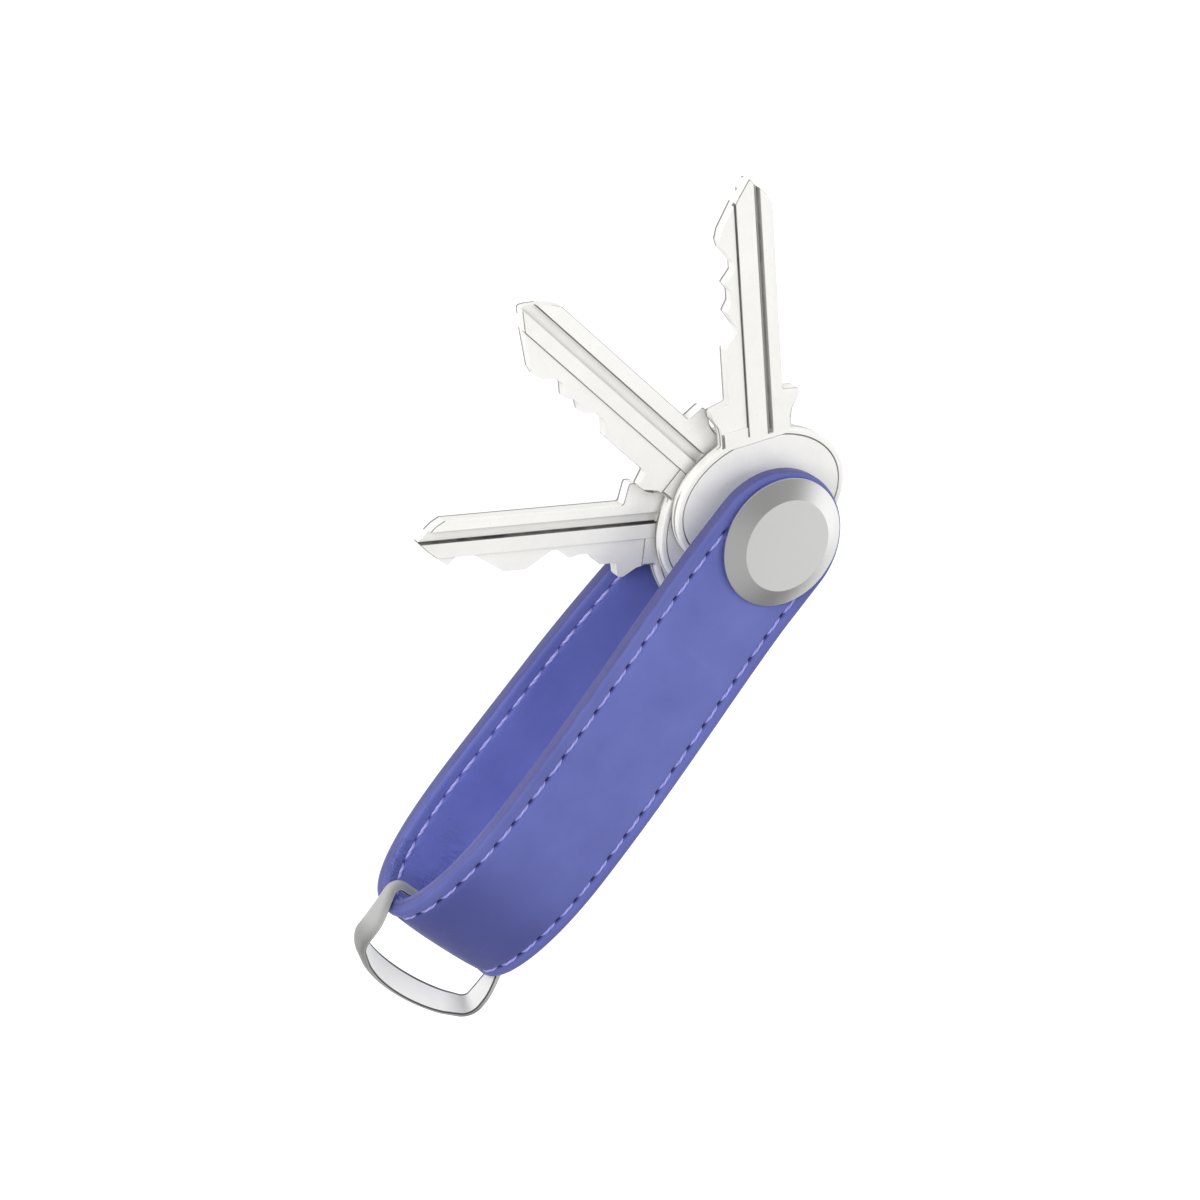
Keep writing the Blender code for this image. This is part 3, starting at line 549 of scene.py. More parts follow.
def strap_skin(name, inner, mat):
    """Outer leather (inner False) or lining: the showing face is crowned between
    the seams, pulled in along them, raised at the margins and rolled over the edge."""
    rows = strap_rows()
    verts, attrs_e, attrs_d, attrs_c, attrs_b = [], [], [], [], []
    roll = 0.75 if not inner else 0.95
    side = MID - 0.38 if not inner else MID - 0.45
    nc = len(COLS)
    for s, h in rows:
        x, z, tx, tz, nx, nzz = PATH.frame(s)
        dist, seam_on = seam_near(s)
        off_fold = gauss(s - FOLD_S, 17.0)
        for yc in COLS:
            y = h * yc / HALF_W
            if x > END_CX:
                e = HALF_W - math.hypot(x - END_CX, y)
            else:
                e = HALF_W - abs(y)
            e = max(e, 0.0)
            ay = abs(y)
            under_disc = 1.0 - smooth(9.3, 19.0, math.hypot(x, y)) if x < 0 else 1.0
            d = 0.0
            if e < roll:
                q = (roll - e) / roll
                d += side * (1.0 - math.sqrt(max(0.0, 1.0 - q * q)))
            free = (1.0 - under_disc)
            low = nz(s * 0.055, y * 0.12, 3.0 if inner else 7.0)
            ripple = nz(s * 0.16, y * 0.3, 13.0)
            if not inner:
                d -= free * 0.20 * max(0.0, 1 - (ay / 7.7) ** 2.6)
                d += free * (0.07 * low + 0.02 * ripple) * smooth(0.5, 2.5, e)
                d -= free * 0.07 * gauss(e - 1.0, 0.42)
            else:
                d -= free * 0.10 * max(0.0, 1 - (ay / 7.7) ** 2.6)
                d += free * (0.06 * low + 0.03 * ripple) * smooth(0.5, 2.5, e)
            # the seam's channel and its needle holes
            dy = ay - SEAM_Y
            ch = gauss(dy, 0.34) * seam_on
            d += 0.13 * ch
            hole = gauss(dist, 0.42) * gauss(dy, 0.20) * seam_on
            d += (0.34 if not inner else 0.22) * hole
            pull = gauss(dist, 0.9) * gauss(dy, 0.65) * seam_on
            d += 0.05 * pull
            if under_disc > 0.0 and not inner:
                d = max(d, 0.0)
            dd = d if not inner else STRAP_T - d
            verts.append((x + nx * dd, y, z + nzz * dd))
            wob = 0.05 * nz(s * 0.4, y, 1.0)
            # the edge colour is weaker towards the fold, where the edge is rubbed lighter
            shade_and_wear = smooth(44.0, 60.0, -x)
            ed = (1.0 - smooth(0.03 + wob, 0.32 + wob, e)) * (1.0 - 0.3 * shade_and_wear)
            attrs_e.append(max(ed, (0.30 if not inner else 0.25) * (1.0 - smooth(0.5, 1.9, e))))
            # where the painted shade of the needle holes goes
            hm = gauss(dist, 0.50) * gauss(dy, 0.24) * seam_on
            attrs_d.append(min(1.0, hm * (1.25 if not inner else 0.9)))
            attrs_c.append(smooth(0.12, 0.8, off_fold) if inner else 0.0)
            # painted shade: the outer leather darker towards the fold, the lining darker towards its end under the near
            # limb and the keys
            wave = 2.5 * nz(s * 0.09, y * 0.13, 21.0)
            attrs_b.append(smooth(49.0, 66.0, -x + wave) * smooth(0.8, 3.2, e) if not inner
                           else 0.32 * (1.0 - smooth(24.0, 50.0, -x + wave)))
    # the back of the layer: flat under the face, stepping over the core's edge to the middle
    back = [(-HALF_W, MID), (-10.02, MID), (-9.96, None), (9.96, None), (10.02, MID), (HALF_W, MID)]
    flat_d = 0.97 if not inner else 1.23
    nb = len(back)
    off = len(verts)
    for s, h in rows:
        x, z, tx, tz, nx, nzz = PATH.frame(s)
        for yc, bd in back:
            y = h * yc / HALF_W
            dd = flat_d if bd is None else bd
            if bd is None and h < 3.0:
                dd = MID + (flat_d - MID) * smooth(1.6, 3.0, h)
            verts.append((x + nx * dd, y, z + nzz * dd))
            attrs_e.append(1.0 if abs(yc) > 10.0 else 0.0)
            attrs_d.append(0.0)
            attrs_c.append(0.0)
            attrs_b.append(0.0)
    faces = []
    nr = len(rows)
    for i in range(nr - 1):
        a, b = i * nc, (i + 1) * nc
        for j in range(nc - 1):
            faces.append((a + j, a + j + 1, b + j + 1, b + j))
        a2, b2 = off + i * nb, off + (i + 1) * nb
        for j in range(nb - 1):
            faces.append((a2 + j, b2 + j, b2 + j + 1, a2 + j + 1))
        faces.append((a, b, b2, a2))
        faces.append((a + nc - 1, a2 + nb - 1, b2 + nb - 1, b + nc - 1))
    for i in (0, nr - 1):
        a, a2 = i * nc, off + i * nb
        loop = [a + j for j in range(nc)] + [a2 + j for j in range(nb - 1, -1, -1)]
        faces.append(loop if i == 0 else loop[::-1])
    ob = mesh_object(name, verts, faces, mat, {"edge": attrs_e, "dip": attrs_d, "crease": attrs_c, "strap_painted_shade": attrs_b})
    subtract(ob, [tube_cutter(name + "_hole", HOLE_R, -3.0, 20.0)])
    ob.data.polygons.foreach_set("use_smooth", [True] * len(ob.data.polygons))
    ob.data.set_sharp_from_angle(angle=math.radians(42))
    return ob


def stitches(name, y, inner, mat):
    """Each stitch is a two-ply strand that comes up out of one needle hole and
    goes down the next."""
    verts, faces, ply = [], [], []
    ns, nr = 22, 12
    half = 0.5 * STEP
    for i, s0 in enumerate(SEAM_S):
        ln = (half - 0.30) if not inner else (half - 0.16)
        skew = 0.03 * (1 if y > 0 else -1) * (1 if not inner else -1)
        jig = 0.05 * nz(i * 1.7, y, 5.0)
        base = len(verts)
        for k in range(ns + 1):
            t = 2.0 * k / ns - 1.0
            s = s0 + ln * t
            x, z, tx, tz, nx, nzz = PATH.frame(s)
            # height over the seam's channel
            rise = (1.0 - abs(t) ** 3.2)
            up = -0.36 + 0.40 * rise
            wid = (0.20 if not inner else 0.25) * (0.62 + 0.38 * (1 - abs(t) ** 4))
            hgt = 0.15 * (0.7 + 0.3 * rise)
            yy = y + skew * t + jig
            surf = 0.13 if not inner else STRAP_T - 0.13
            sgn = -1.0 if not inner else 1.0
            for r in range(nr):
                a = 2 * math.pi * r / nr
                twist = math.cos(2 * a - s * 5.2)
                k2 = 1.0 + 0.13 * twist
                oy = wid * k2 * math.cos(a)
                oh = hgt * k2 * math.sin(a)
                dd = surf + sgn * (up + oh)
                verts.append((x + nx * dd, yy + oy, z + nzz * dd))
                # painted shade where the strand is thinnest, between the plies
                ply.append(0.5 - 0.5 * twist)
        for k in range(ns):
            for r in range(nr):
                q = (r + 1) % nr
                faces.append((base + k * nr + r, base + k * nr + q, base + (k + 1) * nr + q, base + (k + 1) * nr + r))
        faces.append([base + r for r in range(nr)][::-1])
        faces.append([base + ns * nr + r for r in range(nr)])
    return mesh_object(name, verts, faces, mat, {"ply": ply}, sharp=60)


# ------------------------------------------------------------------ turned parts
def rounded_profile(pts, radii, steps=4):
    """Fillets the corners of an open (r, z) polyline."""
    out = [pts[0]]
    for i in range(1, len(pts) - 1):
        rad = radii.get(i, 0.0)
        p0, p1, p2 = Vector(pts[i - 1]), Vector(pts[i]), Vector(pts[i + 1])
        if rad <= 0:
            out.append(tuple(p1))
            continue
        a, b = (p0 - p1).normalized(), (p2 - p1).normalized()
        th = a.angle(b)
        d = rad / math.tan(th / 2)
        d = min(d, 0.48 * (p0 - p1).length, 0.48 * (p2 - p1).length)
        s, e = p1 + a * d, p1 + b * d
        for k in range(steps + 1):
            t = k / steps
            q = s * (1 - t) ** 2 + p1 * (2 * t * (1 - t)) + e * t * t
            out.append((q.x, q.y))
    out.append(pts[-1])
    return out


def turned(name, prof, mat, n=192, sharp=25, closed=False):
    verts, faces = [], []
    idx = []
    for r, z in prof:
        if r < 1e-6:
            idx.append([len(verts)])
            verts.append((0.0, 0.0, z))
        else:
            idx.append(list(range(len(verts), len(verts) + n)))
            for k in range(n):
                a = 2 * math.pi * k / n
                verts.append((r * math.cos(a), r * math.sin(a), z))
    pairs = list(zip(idx[:-1], idx[1:]))
    if closed:
        pairs.append((idx[-1], idx[0]))
    for a, b in pairs:
        for k in range(n):
            j = (k + 1) % n
            if len(a) == 1:
                faces.append((a[0], b[j], b[k]))
            elif len(b) == 1:
                faces.append((a[k], a[j], b[0]))
            else:
                faces.append((a[k], a[j], b[j], b[k]))
    return mesh_object(name, verts, faces, mat, sharp=sharp)


# ------------------------------------------------------------------ keys
BOW_C, BOW_A, BOW_B = 4.5, 9.8, 13.0
NECK_HALF, NECK_END = 5.3, 15.0
SHOULDER_HALF, SHOULDER_0, SHOULDER_1 = 6.6, 18.0, 18.9
BLADE_0, TIP = 19.4, 50.4
KEY_T = 1.95
KEYS = {
    "key_top": ("top_key", 49.7, 0.0, 9.10, (49.2, -1.0, 1.0, 3.9, 4.15), (43.2, 3.4), ((41.9, 3.82), (40.8, 3.6)), (-2.4, -1.5),
                   ((37.9, 1.95, 1.2), (34.0, 2.6, 1.5), (29.2, 2.0, 0.8)), ((35.95, 35.75, 3.3), (32.1, 31.9, 3.4)), 27.0),
    "key_middle": ("middle_key", 89.3, -0.4, 6.80, (50.4, -0.6, 1.12, 4.6, 4.1), (43.6, 4.3), ((42.4, 4.6), (41.4, 4.4)), (-2.1, -0.5),
                   ((38.9, 3.1, 1.4), (35.1, 3.65, 1.1), (30.6, 3.05, 1.8)), ((36.9, 36.5, 4.2), (33.6, 33.1, 4.2)), 28.0),
    "key_bottom": ("bottom_key", 127.5, 0.2, 4.50, (49.0, -0.8, 0.8, 4.5, 3.7), (44.6, 2.6), (), (-2.3, -0.75),
                   ((42.2, 1.45, 2.6), (29.0, 1.85, 0.9), (24.4, 2.8, 1.5)), ((36.2, 33.0, 4.15), (26.8, 26.4, 3.1)), 21.9),
}


# painted shade on the floor of each key's wide groove
GROOVE_SHADE = {"key_top": 0.35, "key_middle": 0.03, "key_bottom": 0.06}


def round_corners(pts, radius, steps=3):
    """Rounds a closed polygon's corners; radius(point) gives each corner's size."""
    out = []
    n = len(pts)
    for i in range(n):
        p0, p1, p2 = Vector(pts[i - 1]), Vector(pts[i]), Vector(pts[(i + 1) % n])
        a, b = p0 - p1, p2 - p1
        if a.length < 1e-6 or b.length < 1e-6:
            continue
        bend = math.pi - a.angle(b)
        rad = radius(p1.x, p1.y)
        if bend < 0.12 or rad <= 0:
            out.append((p1.x, p1.y))
            continue
        d = min(rad * math.tan(bend / 2), 0.42 * a.length, 0.42 * b.length)
        s, e = p1 + a.normalized() * d, p1 + b.normalized() * d
        for k in range(steps + 1):
            t = k / steps
            q = s * (1 - t) ** 2 + p1 * (2 * t * (1 - t)) + e * t * t
            out.append((q.x, q.y))
    return out


def key_outline(nose, meet, belly, cuts, peaks, whole):
    tip, tip_y, nl, half, back = nose
    pts = []
    t0 = math.asin(NECK_HALF / BOW_B)
    n = 120
    for k in range(n + 1):
        t = t0 + (2 * math.pi - 2 * t0) * k / n
        pts.append((BOW_C + BOW_A * math.cos(t), BOW_B * math.sin(t)))
    tail = [(NECK_END, -NECK_HALF), (NECK_END + 1.2, -NECK_HALF - 0.2), (SHOULDER_0, -SHOULDER_HALF),
            (SHOULDER_1, -SHOULDER_HALF), (BLADE_0, -back),
            (tip - 4.1 * nl, -back), (tip - 2.7 * nl, -0.82 * back), (tip - 1.6 * nl, -0.58 * back),
            (tip - 0.7 * nl, -0.36 * back), (tip, tip_y),
            (tip + (meet[0] - tip) * 0.36, tip_y + (meet[1] - tip_y) * 0.36 + 0.15), meet]
    tail += belly
    for i, (x, lvl, flat) in enumerate(cuts):
        tail += [(x + 0.5 * flat, lvl), (x - 0.5 * flat, lvl)]
        if i < len(peaks):
            tail += [(peaks[i][0], peaks[i][2]), (peaks[i][1], peaks[i][2])]
    tail += [(whole, half), (BLADE_0, half), (SHOULDER_1, SHOULDER_HALF), (SHOULDER_0, SHOULDER_HALF),
             (NECK_END + 1.2, NECK_HALF + 0.2), (NECK_END, NECK_HALF)]
    return pts, tail


def inset(outline, c):
    n = len(outline)
    out = []
    for i in range(n):
        p0, p1, p2 = Vector(outline[i - 1]), Vector(outline[i]), Vector(outline[(i + 1) % n])
        a, b = (p1 - p0), (p2 - p1)
        if a.length < 1e-9 or b.length < 1e-9:
            out.append((p1.x, p1.y))
            continue
        a.normalize()
        b.normalize()
        na, nb = Vector((-a.y, a.x)), Vector((-b.y, b.x))
        m = na + nb
        if m.length < 1e-6:
            m = na
        m.normalize()
        k = c / max(0.5, m.dot(na))
        out.append((p1.x + m.x * k, p1.y + m.y * k))
    return out


def bow_step_line(off, n=90):
    """The bow's inner step: the bow's outline moved in, closed by a straight line across the neck."""
    a, b = BOW_A - off, BOW_B - off
    x_cut = 13.2 - off * 0.3
    t0 = math.acos(min(1.0, (x_cut - BOW_C) / a))
    pts = []
    for k in range(n + 1):
        t = t0 + (2 * math.pi - 2 * t0) * k / n
        pts.append((BOW_C + a * math.cos(t), b * math.sin(t)))
    return pts


def band_cutter(name, outer, inner, z0, z1):
    """A closed band between two outlines of the same number of points."""
    n = len(outer)
    v = [(x, y, z) for z in (z0, z1) for line in (outer, inner) for x, y in line]
    f = []
    for k in range(n):
        j = (k + 1) % n
        f += [(k, j, n + j, n + k), (2 * n + k, 3 * n + k, 3 * n + j, 2 * n + j),
              (k, 2 * n + k, 2 * n + j, j), (n + k, n + j, 3 * n + j, 3 * n + k)]
    return mesh_object(name, v, f, CORE, smooth_faces=False)


KEY_SOFT_BOW, KEY_SOFT_BLADE = 0.30, 0.09


def key_mesh(name):
    body, turn, side, z0, nose, meet, belly, groove, cuts, peaks, whole = KEYS[name]
    z1 = z0 + KEY_T
    bow, tail = key_outline(nose, meet, belly, cuts, peaks, whole)
    raw = bow + tail
    outline = round_corners(raw, lambda x, y: 0.9 if x < SHOULDER_0 + 0.5 else (0.35 if x < BLADE_0 + 1 else 0.45))
    outline = [(x, y + side) for x, y in outline]
    c_bow, c_blade = KEY_SOFT_BOW, KEY_SOFT_BLADE
    rings = []
    nb = len(outline)

    def ring(f, z_for):
        cs = [c_bow if x < NECK_END + 0.5 else c_blade for x, y in outline]
        pts = []
        ins_b, ins_s = inset(outline, c_bow * f), inset(outline, c_blade * f)
        for i in range(nb):
            w = 1.0 - smooth(NECK_END, NECK_END + 2.5, outline[i][0])
            p, q = ins_b[i], ins_s[i]
            c = c_bow * w + c_blade * (1 - w)
            pts.append((p[0] * w + q[0] * (1 - w), p[1] * w + q[1] * (1 - w), z_for(c)))
        return pts

    prof = [(1.0, 0.0), (0.55, 0.16), (0.2, 0.45), (0.0, 1.0)]
    for f, h in prof:
        rings.append(ring(f, lambda c, h=h: z0 + c * h))
    for z in (0.40, 0.62, 0.95, 1.32):
        rings.append(ring(0.0, lambda c, z=z: z0 + z))
    for f, h in prof[::-1]:
        rings.append(ring(f, lambda c, h=h: z1 - c * h))
    verts = [p for r in rings for p in r]
    faces = []
    for i in range(len(rings) - 1):
        a, b = i * nb, (i + 1) * nb
        for k in range(nb):
            j = (k + 1) % nb
            faces.append((a + k, a + j, b + j, b + k))
    faces.append(list(range(nb))[::-1])
    faces.append([(len(rings) - 1) * nb + k for k in range(nb)])
    ob = mesh_object(name + "_detail", verts, faces, KEYM[name])
    hole_r = 3.2 if side else 3.0
    g0, g1 = groove
    gr = [(13.6, g0 + 0.02), (14.2, g0), (TIP + 3, g0), (TIP + 3, g1), (13.6, g1)]
    tools = [
        tube_cutter("t0", hole_r, z0 - 1, z1 + 1, 96, (0.0, side)),
        prism_cutter("t1", [(x, y + side) for x, y in gr], z1 - 0.6, z1 + 1),
        prism_cutter("t2", [(15.4, 1.35 + side), (TIP + 3, 1.35 + side), (TIP + 3, 7.5 + side), (15.4, 7.5 + side)],
                     z1 - 0.2, z1 + 1),
        prism_cutter("t3", [(17.0, 0.1 + side), (TIP + 3, 0.1 + side), (TIP + 3, 1.2 + side), (17.0, 1.2 + side)],
                     z0 - 1, z0 + 0.6),
        band_cutter("t4", [(x, y + side) for x, y in bow_step_line(0.78)],
                    [(x, y + side) for x, y in bow_step_line(1.0)], z1 - 0.16, z1 + 1),
        band_cutter("t5", [(x, y + side) for x, y in bow_step_line(0.78)],
                    [(x, y + side) for x, y in bow_step_line(1.0)], z0 - 1, z0 + 0.16),
    ]
    return subtract(ob, tools)


def make_key(name):
    body, turn, side, z0, nose, meet, belly, groove, cuts, peaks, whole = KEYS[name]
    g0, g1 = groove
    half = nose[3]
    ob = key_mesh(name)
    me = ob.data
    me.polygons.foreach_set("use_smooth", [True] * len(me.polygons))
    me.set_sharp_from_angle(angle=math.radians(28))
    # the key's own coordinates, for its finish
    for old in ("kp", "painted_edge_shade"):
        if old in me.attributes:
            me.attributes.remove(me.attributes[old])
    kp = me.attributes.new("kp", "FLOAT_VECTOR", "POINT")
    buf = []
    for v in me.vertices:
        buf += [v.co.x / MM, v.co.y / MM - side, v.co.z / MM - z0]
    kp.data.foreach_set("vector", buf)
    # painted shade and painted dark reflections sit on the groove's floor and along the steps, on the chamfers and
    # walls, and round the bow's rim
    painted_edge_shade = me.attributes.new("painted_edge_shade", "FLOAT", "CORNER")
    vals = [0.0] * len(me.loops)
    for p in me.polygons:
        cx, cy, cz = p.center.x / MM, p.center.y / MM - side, p.center.z / MM - z0
        up = p.normal.z
        s = 0.0
        wob = 0.5 + 0.9 * nz(cx * 0.28, cy * 0.28, z0)
        if abs(cz - (KEY_T - 0.16)) < 0.02 and abs(up) > 0.9:
            s = 0.8
        elif cx > 13.4 and abs(cz - (KEY_T - 0.6)) < 0.03 and g0 - 0.1 < cy < g1 + 0.1 and up > 0.9:
            s = GROOVE_SHADE[name]
        elif cx > 13.4 and abs(up) < 0.3 and abs(cy - g1) < 0.06:
            s = 0.9
        elif cx > 13.4 and abs(up) < 0.3 and abs(cy - g0) < 0.06:
            s = 0.5
        elif cx > 13.4 and abs(up) < 0.3 and abs(cy - 1.35) < 0.05 and cz > KEY_T - 0.25:
            s = 0.95
        elif abs(up) < 0.3 and abs(cx - 15.4) < 0.05 and cz > KEY_T - 0.25 and cy < half - 0.3:
            s = 0.9
        # painted dark outlines on the chamfers, and painted shade low on the walls between the keys
        elif 0.12 < abs(up) < 0.97 and cx > 13.4 and (cz > KEY_T - 0.4 or cz < 0.4):
            s = 0.8 * smooth(0.1, 0.7, wob)
        elif cx > 17.5 and up < 0.9 and cz < 0.40:
            s = 0.8 * smooth(0.15, 0.55, 0.5 + 0.9 * nz(cx * 0.22, cy * 0.22, z0 + 4.0))
        elif cx > 17.5 and abs(up) < 0.3 and -4.6 < cy:
            s = 0.16
        elif cx <= 17.5 and cz < 0.32 and up < 0.9 and math.hypot(cx, cy) > 5.0:
            s = 0.85
        elif cx <= 17.5 and abs(up) < 0.3 and math.hypot(cx, cy) > 5.0:
            # painted dark reflections: dark and light bands that run round the bow's rim
            an = math.atan2(cy, cx - 5.0)
            if cz < 0.62:
                s = 0.8 * smooth(0.35, 0.6, 0.5 + 0.8 * nz(an * 1.3, 2.0, z0))
            elif 0.95 < cz < 1.32:
                s = 0.65 * smooth(0.4, 0.6, 0.5 + 0.8 * nz(an * 1.7, 9.0, z0))
        for li in p.loop_indices:
            vals[li] = s
    painted_edge_shade.data.foreach_set("value", vals)
    rot = Matrix.Rotation(math.radians(turn), 4, "Z")
    me.transform(rot)
    me.update()
    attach(ob, body)
    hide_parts(name)
    return ob


# ------------------------------------------------------------------ D-ring
RING_X, RING_Z = -66.27, 9.15
RING_B, RING_H2, RING_L, RING_SAG = 22.9, 11.3, 8.96, 3.0
RING_CORNER, RING_BAR_CORNER = 2.5, 1.6
RING_T, RING_W, RING_BAR_W, RING_TAPER = 1.3, 3.7, 1.5, 7.0
RING_A0, RING_A1 = -12.0, 53.0
RING_BOW_0, RING_BOW_1 = 3.9, 14.1


def fillet(p0, p1, p2, r, m):
    p0, p1, p2 = Vector(p0), Vector(p1), Vector(p2)
    a, b = (p0 - p1).normalized(), (p2 - p1).normalized()
    th = a.angle(b)
    d = r / math.tan(th / 2)
    s, e = p1 + a * d, p1 + b * d
    cen = p1 + (a + b).normalized() * (r / math.sin(th / 2))
    a0 = math.atan2(s.y - cen.y, s.x - cen.x)
    a1 = math.atan2(e.y - cen.y, e.x - cen.x)
    da = (a1 - a0 + math.pi) % (2 * math.pi) - math.pi
    return [(cen.x + r * math.cos(a0 + da * k / (m - 1)), cen.y + r * math.sin(a0 + da * k / (m - 1)))
            for k in range(m)]


def ring_line():
    """The D's centre line, unrolled: (along the bar, away from the bar)."""
    h, h2 = RING_B / 2, RING_H2
    rr = (h2 * h2 + RING_SAG ** 2) / (2 * RING_SAG)
    cv = RING_L + RING_SAG - rr
    ph = math.asin(h2 / rr)
    right = [(x, 0.0) for x in (2.0, 4.0, 6.0, 8.0)] + fillet((0, 0), (h, 0), (h2, RING_L), RING_BAR_CORNER, 12)
    right += [(h + (h2 - h) * y / RING_L, y) for y in (2.2, 2.8, 3.4, 4.0, 4.6, 5.2, 5.8, 6.3)]
    first = (rr * math.sin(ph * 0.75), cv + rr * math.cos(ph * 0.75))
    right += fillet((h, 0), (h2, RING_L), first, RING_CORNER, 22)
    for k in range(28):
        a = ph * 0.66 * (1 - k / 28.0)
        right.append((rr * math.sin(a), cv + rr * math.cos(a)))
    left = [(-x, y) for x, y in reversed(right)]
    return [(0.0, 0.0)] + right + [(0.0, cv + rr)] + left


def ring_side(v):
    """The ring is bowed in the side view: where a point at distance v from the
    bar lies, and the strip's direction there, as (x, z, angle below -X)."""
    x = z = 0.0
    n = 40
    a = math.radians(RING_A0)
    for k in range(n + 1):
        d = v * (k + 0.5) / n if k < n else v
        t = min(max((d - RING_BOW_0) / (RING_BOW_1 - RING_BOW_0), 0.0), 1.0)
        a = math.radians(RING_A0 + (RING_A1 - RING_A0) * t * t * (3 - 2 * t))
        if k < n:
            x -= math.cos(a) * v / n
            z -= math.sin(a) * v / n
    return x, z, a


def ring_section(w):
    """Across the strip, as (outward, along its width, rim): flat inside with a narrow ground land along both rims,
    domed outside; rim marks where the painted dark shade and reflection of the edges goes."""
    h, t = w / 2, RING_T
    out = []
    for land, wd in ((0.18, 1), (0.34, -1)):
        land = min(land, 0.13 * w)
        side = [(-0.5 * t, 0.0, 0), (-0.5 * t, 0.35 * h, 0), (-0.5 * t, 0.7 * h, 0), (-0.5 * t, h - land - 0.05, 0),
                (-0.5 * t, h - land, 0.95), (-0.5 * t, h - 0.12, 1), (-0.5 * t + 0.07, h - 0.03, 1),
                (-0.5 * t + 0.13, h, 0.9), (-0.5 * t + 0.20, h, 0.3), (-0.24 * t, 0.985 * h, 0),
                (-0.10 * t, 0.955 * h, 0), (0.04 * t, 0.91 * h, 0), (0.16 * t, 0.85 * h, 0), (0.28 * t, 0.74 * h, 0),
                (0.385 * t, 0.56 * h, 0), (0.455 * t, 0.36 * h, 0), (0.49 * t, 0.17 * h, 0), (0.5 * t, 0.0, 0)]
        out.append([(o, a * wd, r) for o, a, r in side])
    return out[0] + out[1][-2:0:-1]


def make_ring():
    c = ring_line()
    n = len(c)
    verts, faces, rim, dome, painted_corner_shade = [], [], [], [], []
    m = len(ring_section(1.0))
    for k in range(n):
        p, q = Vector(c[k - 1]), Vector(c[(k + 1) % n])
        tt = (q - p).normalized()
        x, z, ang = ring_side(c[k][1])
        v = Vector((-math.cos(ang), 0.0, -math.sin(ang)))
        u = Vector((0.0, 1.0, 0.0))
        across = u.cross(v)
        s = min(max(c[k][1] / RING_TAPER, 0.0), 1.0)
        w = RING_BAR_W + (RING_W - RING_BAR_W) * s * s * (3 - 2 * s)
        for so, sw, r in ring_section(w):
            pt = Vector((RING_X + x, c[k][0], RING_Z + z)) + (u * tt.y - v * tt.x) * so + across * sw
            verts.append(tuple(pt))
            # painted shade and dark reflection on the rims' lands
            rim.append(float(r))
            # painted shade: the domed outer face is darker than the flat inner face
            dome.append(smooth(-0.55, -0.35, so))
            # painted shade, darker on the outer corners and inside the corner on the right
            out = smooth(-0.55, -0.35, so)
            d = out * (0.55 * smooth(5.5, 8.5, c[k][1]) - 0.2 * smooth(10.2, 11.8, c[k][1]))
            if c[k][0] < -6.0:
                d += (1 - out) * (0.20 * smooth(-8.0, -10.5, c[k][0]) + 0.22 * gauss(c[k][1] - 9.2, 0.8))
            painted_corner_shade.append(max(0.0, min(1.0, d)))
    for k in range(n):
        j = (k + 1) % n
        for i in range(m):
            q = (i + 1) % m
            faces.append((k * m + i, k * m + q, j * m + q, j * m + i))
    ob = mesh_object("d_ring_detail", verts, faces, RING, {"rim": rim, "dome": dome, "painted_corner_shade": painted_corner_shade}, sharp=40)
    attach(ob, "ring")
    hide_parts("d_ring")
    return ob


# ------------------------------------------------------------------ build
face = strap_skin("strap_outer_skin", False, LEATHER)
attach(face, "strap_and_post")
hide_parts("strap_outer_leather")
lin = strap_skin("strap_lining_skin", True, LINING)
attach(lin, "strap_and_post")
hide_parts("strap_lining_leather")

for tag, y in (("left", SEAM_Y), ("right", -SEAM_Y)):
    for kind, inner in (("needle", False), ("bobbin", True)):
        st = stitches("%s_stitches_%s" % (kind, tag), y, inner, THREAD_IN if inner else THREAD)
        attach(st, "strap_and_post")
        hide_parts("%s_thread_%s" % (kind, tag))

front = turned("front_disc_detail", rounded_profile(
    [(0, 16.15), (5.2, 16.15), (5.2, 15.25), (8.9, 15.25), (9.0, 15.35), (9.0, 15.75), (6.4, 17.0), (0, 17.0)],
    {3: 0.06, 4: 0.06, 5: 0.16, 6: 0.22}, 5), DISC, sharp=40)
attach(front, "strap_and_post")
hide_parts("front_disc")

rear = turned("rear_disc_detail", rounded_profile(
    [(0, 0.0), (6.4, 0.0), (9.0, 1.25), (9.0, 1.65), (8.9, 1.75), (4.4, 1.75), (4.4, 0.85), (0, 0.85)],
    {1: 0.22, 2: 0.16, 3: 0.06, 4: 0.06}, 5), DISC, sharp=40)
subtract(rear, [tube_cutter("sp%d" % k, 0.8, -1.0, 0.75, 32, (sx * 5.4, 0.0)) for k, sx in enumerate((-1, 1))])
rear.data.polygons.foreach_set("use_smooth", [True] * len(rear.data.polygons))
rear.data.set_sharp_from_angle(angle=math.radians(40))
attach(rear, "rear_fastener")
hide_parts("rear_disc")

for k in KEYS:
    make_key(k)
make_ring()

for nname, mat in (("strap_core", CORE), ("barrel_post", POST), ("lock_screw", POST), ("rear_thrust_washer", BRASS),
                   ("front_washer", POST), ("rear_washer", POST), ("front_spacer", NYLON),
                   ("key_spacer_upper", BRASS), ("key_spacer_lower", BRASS)):
    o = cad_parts[nname]
    if not o.material_slots:
        o.data.materials.append(mat)
    for slot in o.material_slots:
        slot.material = mat

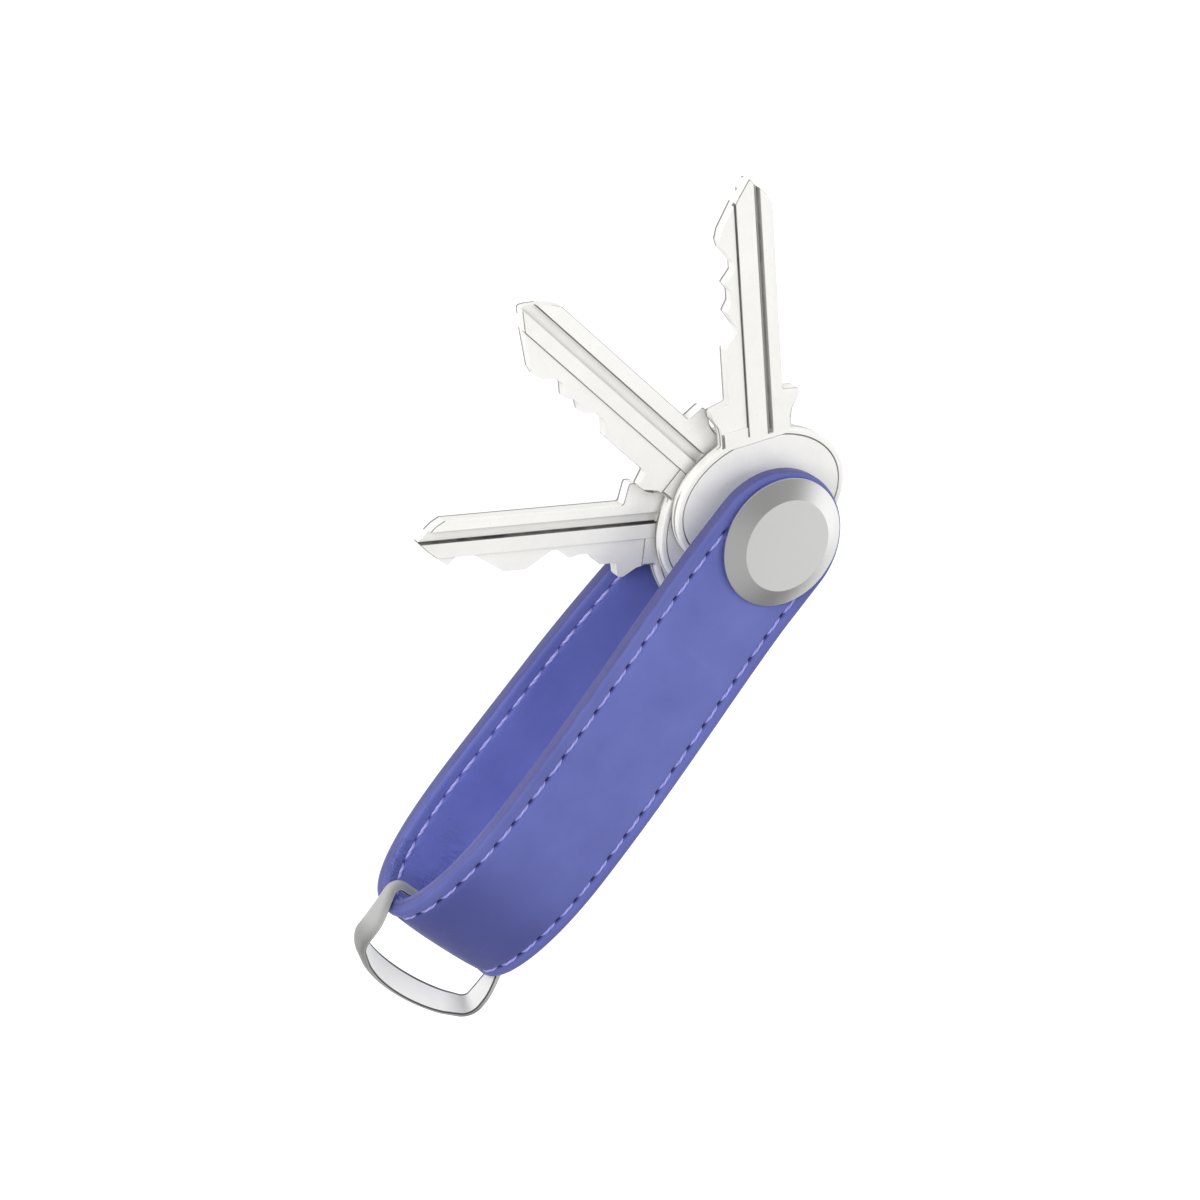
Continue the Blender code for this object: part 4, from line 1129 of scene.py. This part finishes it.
# ------------------------------------------------------------------ floor, light, camera
fl = bpy.data.meshes.new("floor")
fl.from_pydata([(-3, -3, -0.0003), (3, -3, -0.0003), (3, 3, -0.0003), (-3, 3, -0.0003)], [], [(0, 1, 2, 3)])
floor = bpy.data.objects.new("floor", fl)
bpy.context.scene.collection.objects.link(floor)
fm, fnt, fb = nodes_of("floor_white")
fb.inputs["Base Color"].default_value = (0.30, 0.30, 0.30, 1)
fb.inputs["Roughness"].default_value = 0.9
fb.inputs["Specular IOR Level"].default_value = 0.1
fb.inputs["Emission Color"].default_value = (1, 1, 1, 1)
fb.inputs["Emission Strength"].default_value = 0.92
fl.materials.append(fm)

world = bpy.data.worlds.new("studio")
bpy.context.scene.world = world
world.use_nodes = True
wn = world.node_tree
bg = wn.nodes["Background"]
tcw = wn.nodes.new("ShaderNodeTexCoord")
SKY = tcw.outputs["Generated"]


def softbox(direction, inner, outer, level):
    """A round soft light in the surroundings: full inside one angle from its centre, none beyond the other."""
    d = wn.nodes.new("ShaderNodeVectorMath")
    d.operation = "DOT_PRODUCT"
    wn.links.new(SKY, d.inputs[0])
    d.inputs[1].default_value = Vector(direction).normalized()
    m = wn.nodes.new("ShaderNodeMapRange")
    m.interpolation_type = "SMOOTHSTEP"
    m.inputs["From Min"].default_value = math.cos(math.radians(outer))
    m.inputs["From Max"].default_value = math.cos(math.radians(inner))
    m.inputs["To Min"].default_value = 0.0
    m.inputs["To Max"].default_value = level
    wn.links.new(d.outputs["Value"], m.inputs["Value"])
    return m.outputs["Result"]


light = 0.42
for args in (((0.30, -0.78, 0.55), 24, 38, 0.64), ((0.66, -0.742, 0.102), 18, 36, 0.60), ((-0.54, -0.07, 0.83), 15, 50, 0.2),
             ((-0.22, -0.95, 0.20), 8, 28, -0.22)):
    light = math_node(wn, "ADD", light, softbox(*args))
wn.links.new(light, bg.inputs["Strength"])
bg.inputs["Color"].default_value = (1.0, 1.0, 1.0, 1.0)


def area(name, loc, target, size, power, size_y=None):
    l = bpy.data.lights.new(name, "AREA")
    l.energy = power
    l.shape = "RECTANGLE"
    l.size = size
    l.size_y = size_y or size
    ob = bpy.data.objects.new(name, l)
    bpy.context.scene.collection.objects.link(ob)
    ob.location = loc
    d = Vector(target) - Vector(loc)
    ob.rotation_mode = "QUATERNION"
    ob.rotation_quaternion = d.to_track_quat("-Z", "Y")
    return ob


area("main_light", (0.38, -0.20, 0.44), (-0.02, 0.0, 0.01), 0.28, 1.0).visible_glossy = False
area("top_light", (-0.05, 0.10, 0.60), (-0.03, 0.01, 0.01), 0.45, 0.35).visible_glossy = False
area("low_fill", (-0.12, 0.52, 0.25), (-0.03, 0.01, 0.01), 0.40, 2.7).visible_glossy = False

cam_data = bpy.data.cameras.new("photo_camera")
cam = bpy.data.objects.new("photo_camera", cam_data)
bpy.context.scene.collection.objects.link(cam)
cam_data.sensor_width = 36.0
cam_data.sensor_fit = "HORIZONTAL"
cam_data.lens = 94.942
cam_data.clip_start, cam_data.clip_end = 0.01, 10.0
RIGHT = Vector((0.6129, -0.6195, 0.4906)).normalized()
BACK = Vector((-0.0107, 0.6142, 0.7891)).normalized()
UP = BACK.cross(RIGHT).normalized()
RIGHT = UP.cross(BACK).normalized()
rotm = Matrix((RIGHT, UP, BACK)).transposed().to_4x4()
cam.matrix_world = Matrix.Translation(Vector((-25.1583, 267.2793, 335.7364)) * MM) @ rotm
bpy.context.scene.camera = cam
bpy.context.scene.view_settings.view_transform = "Standard"
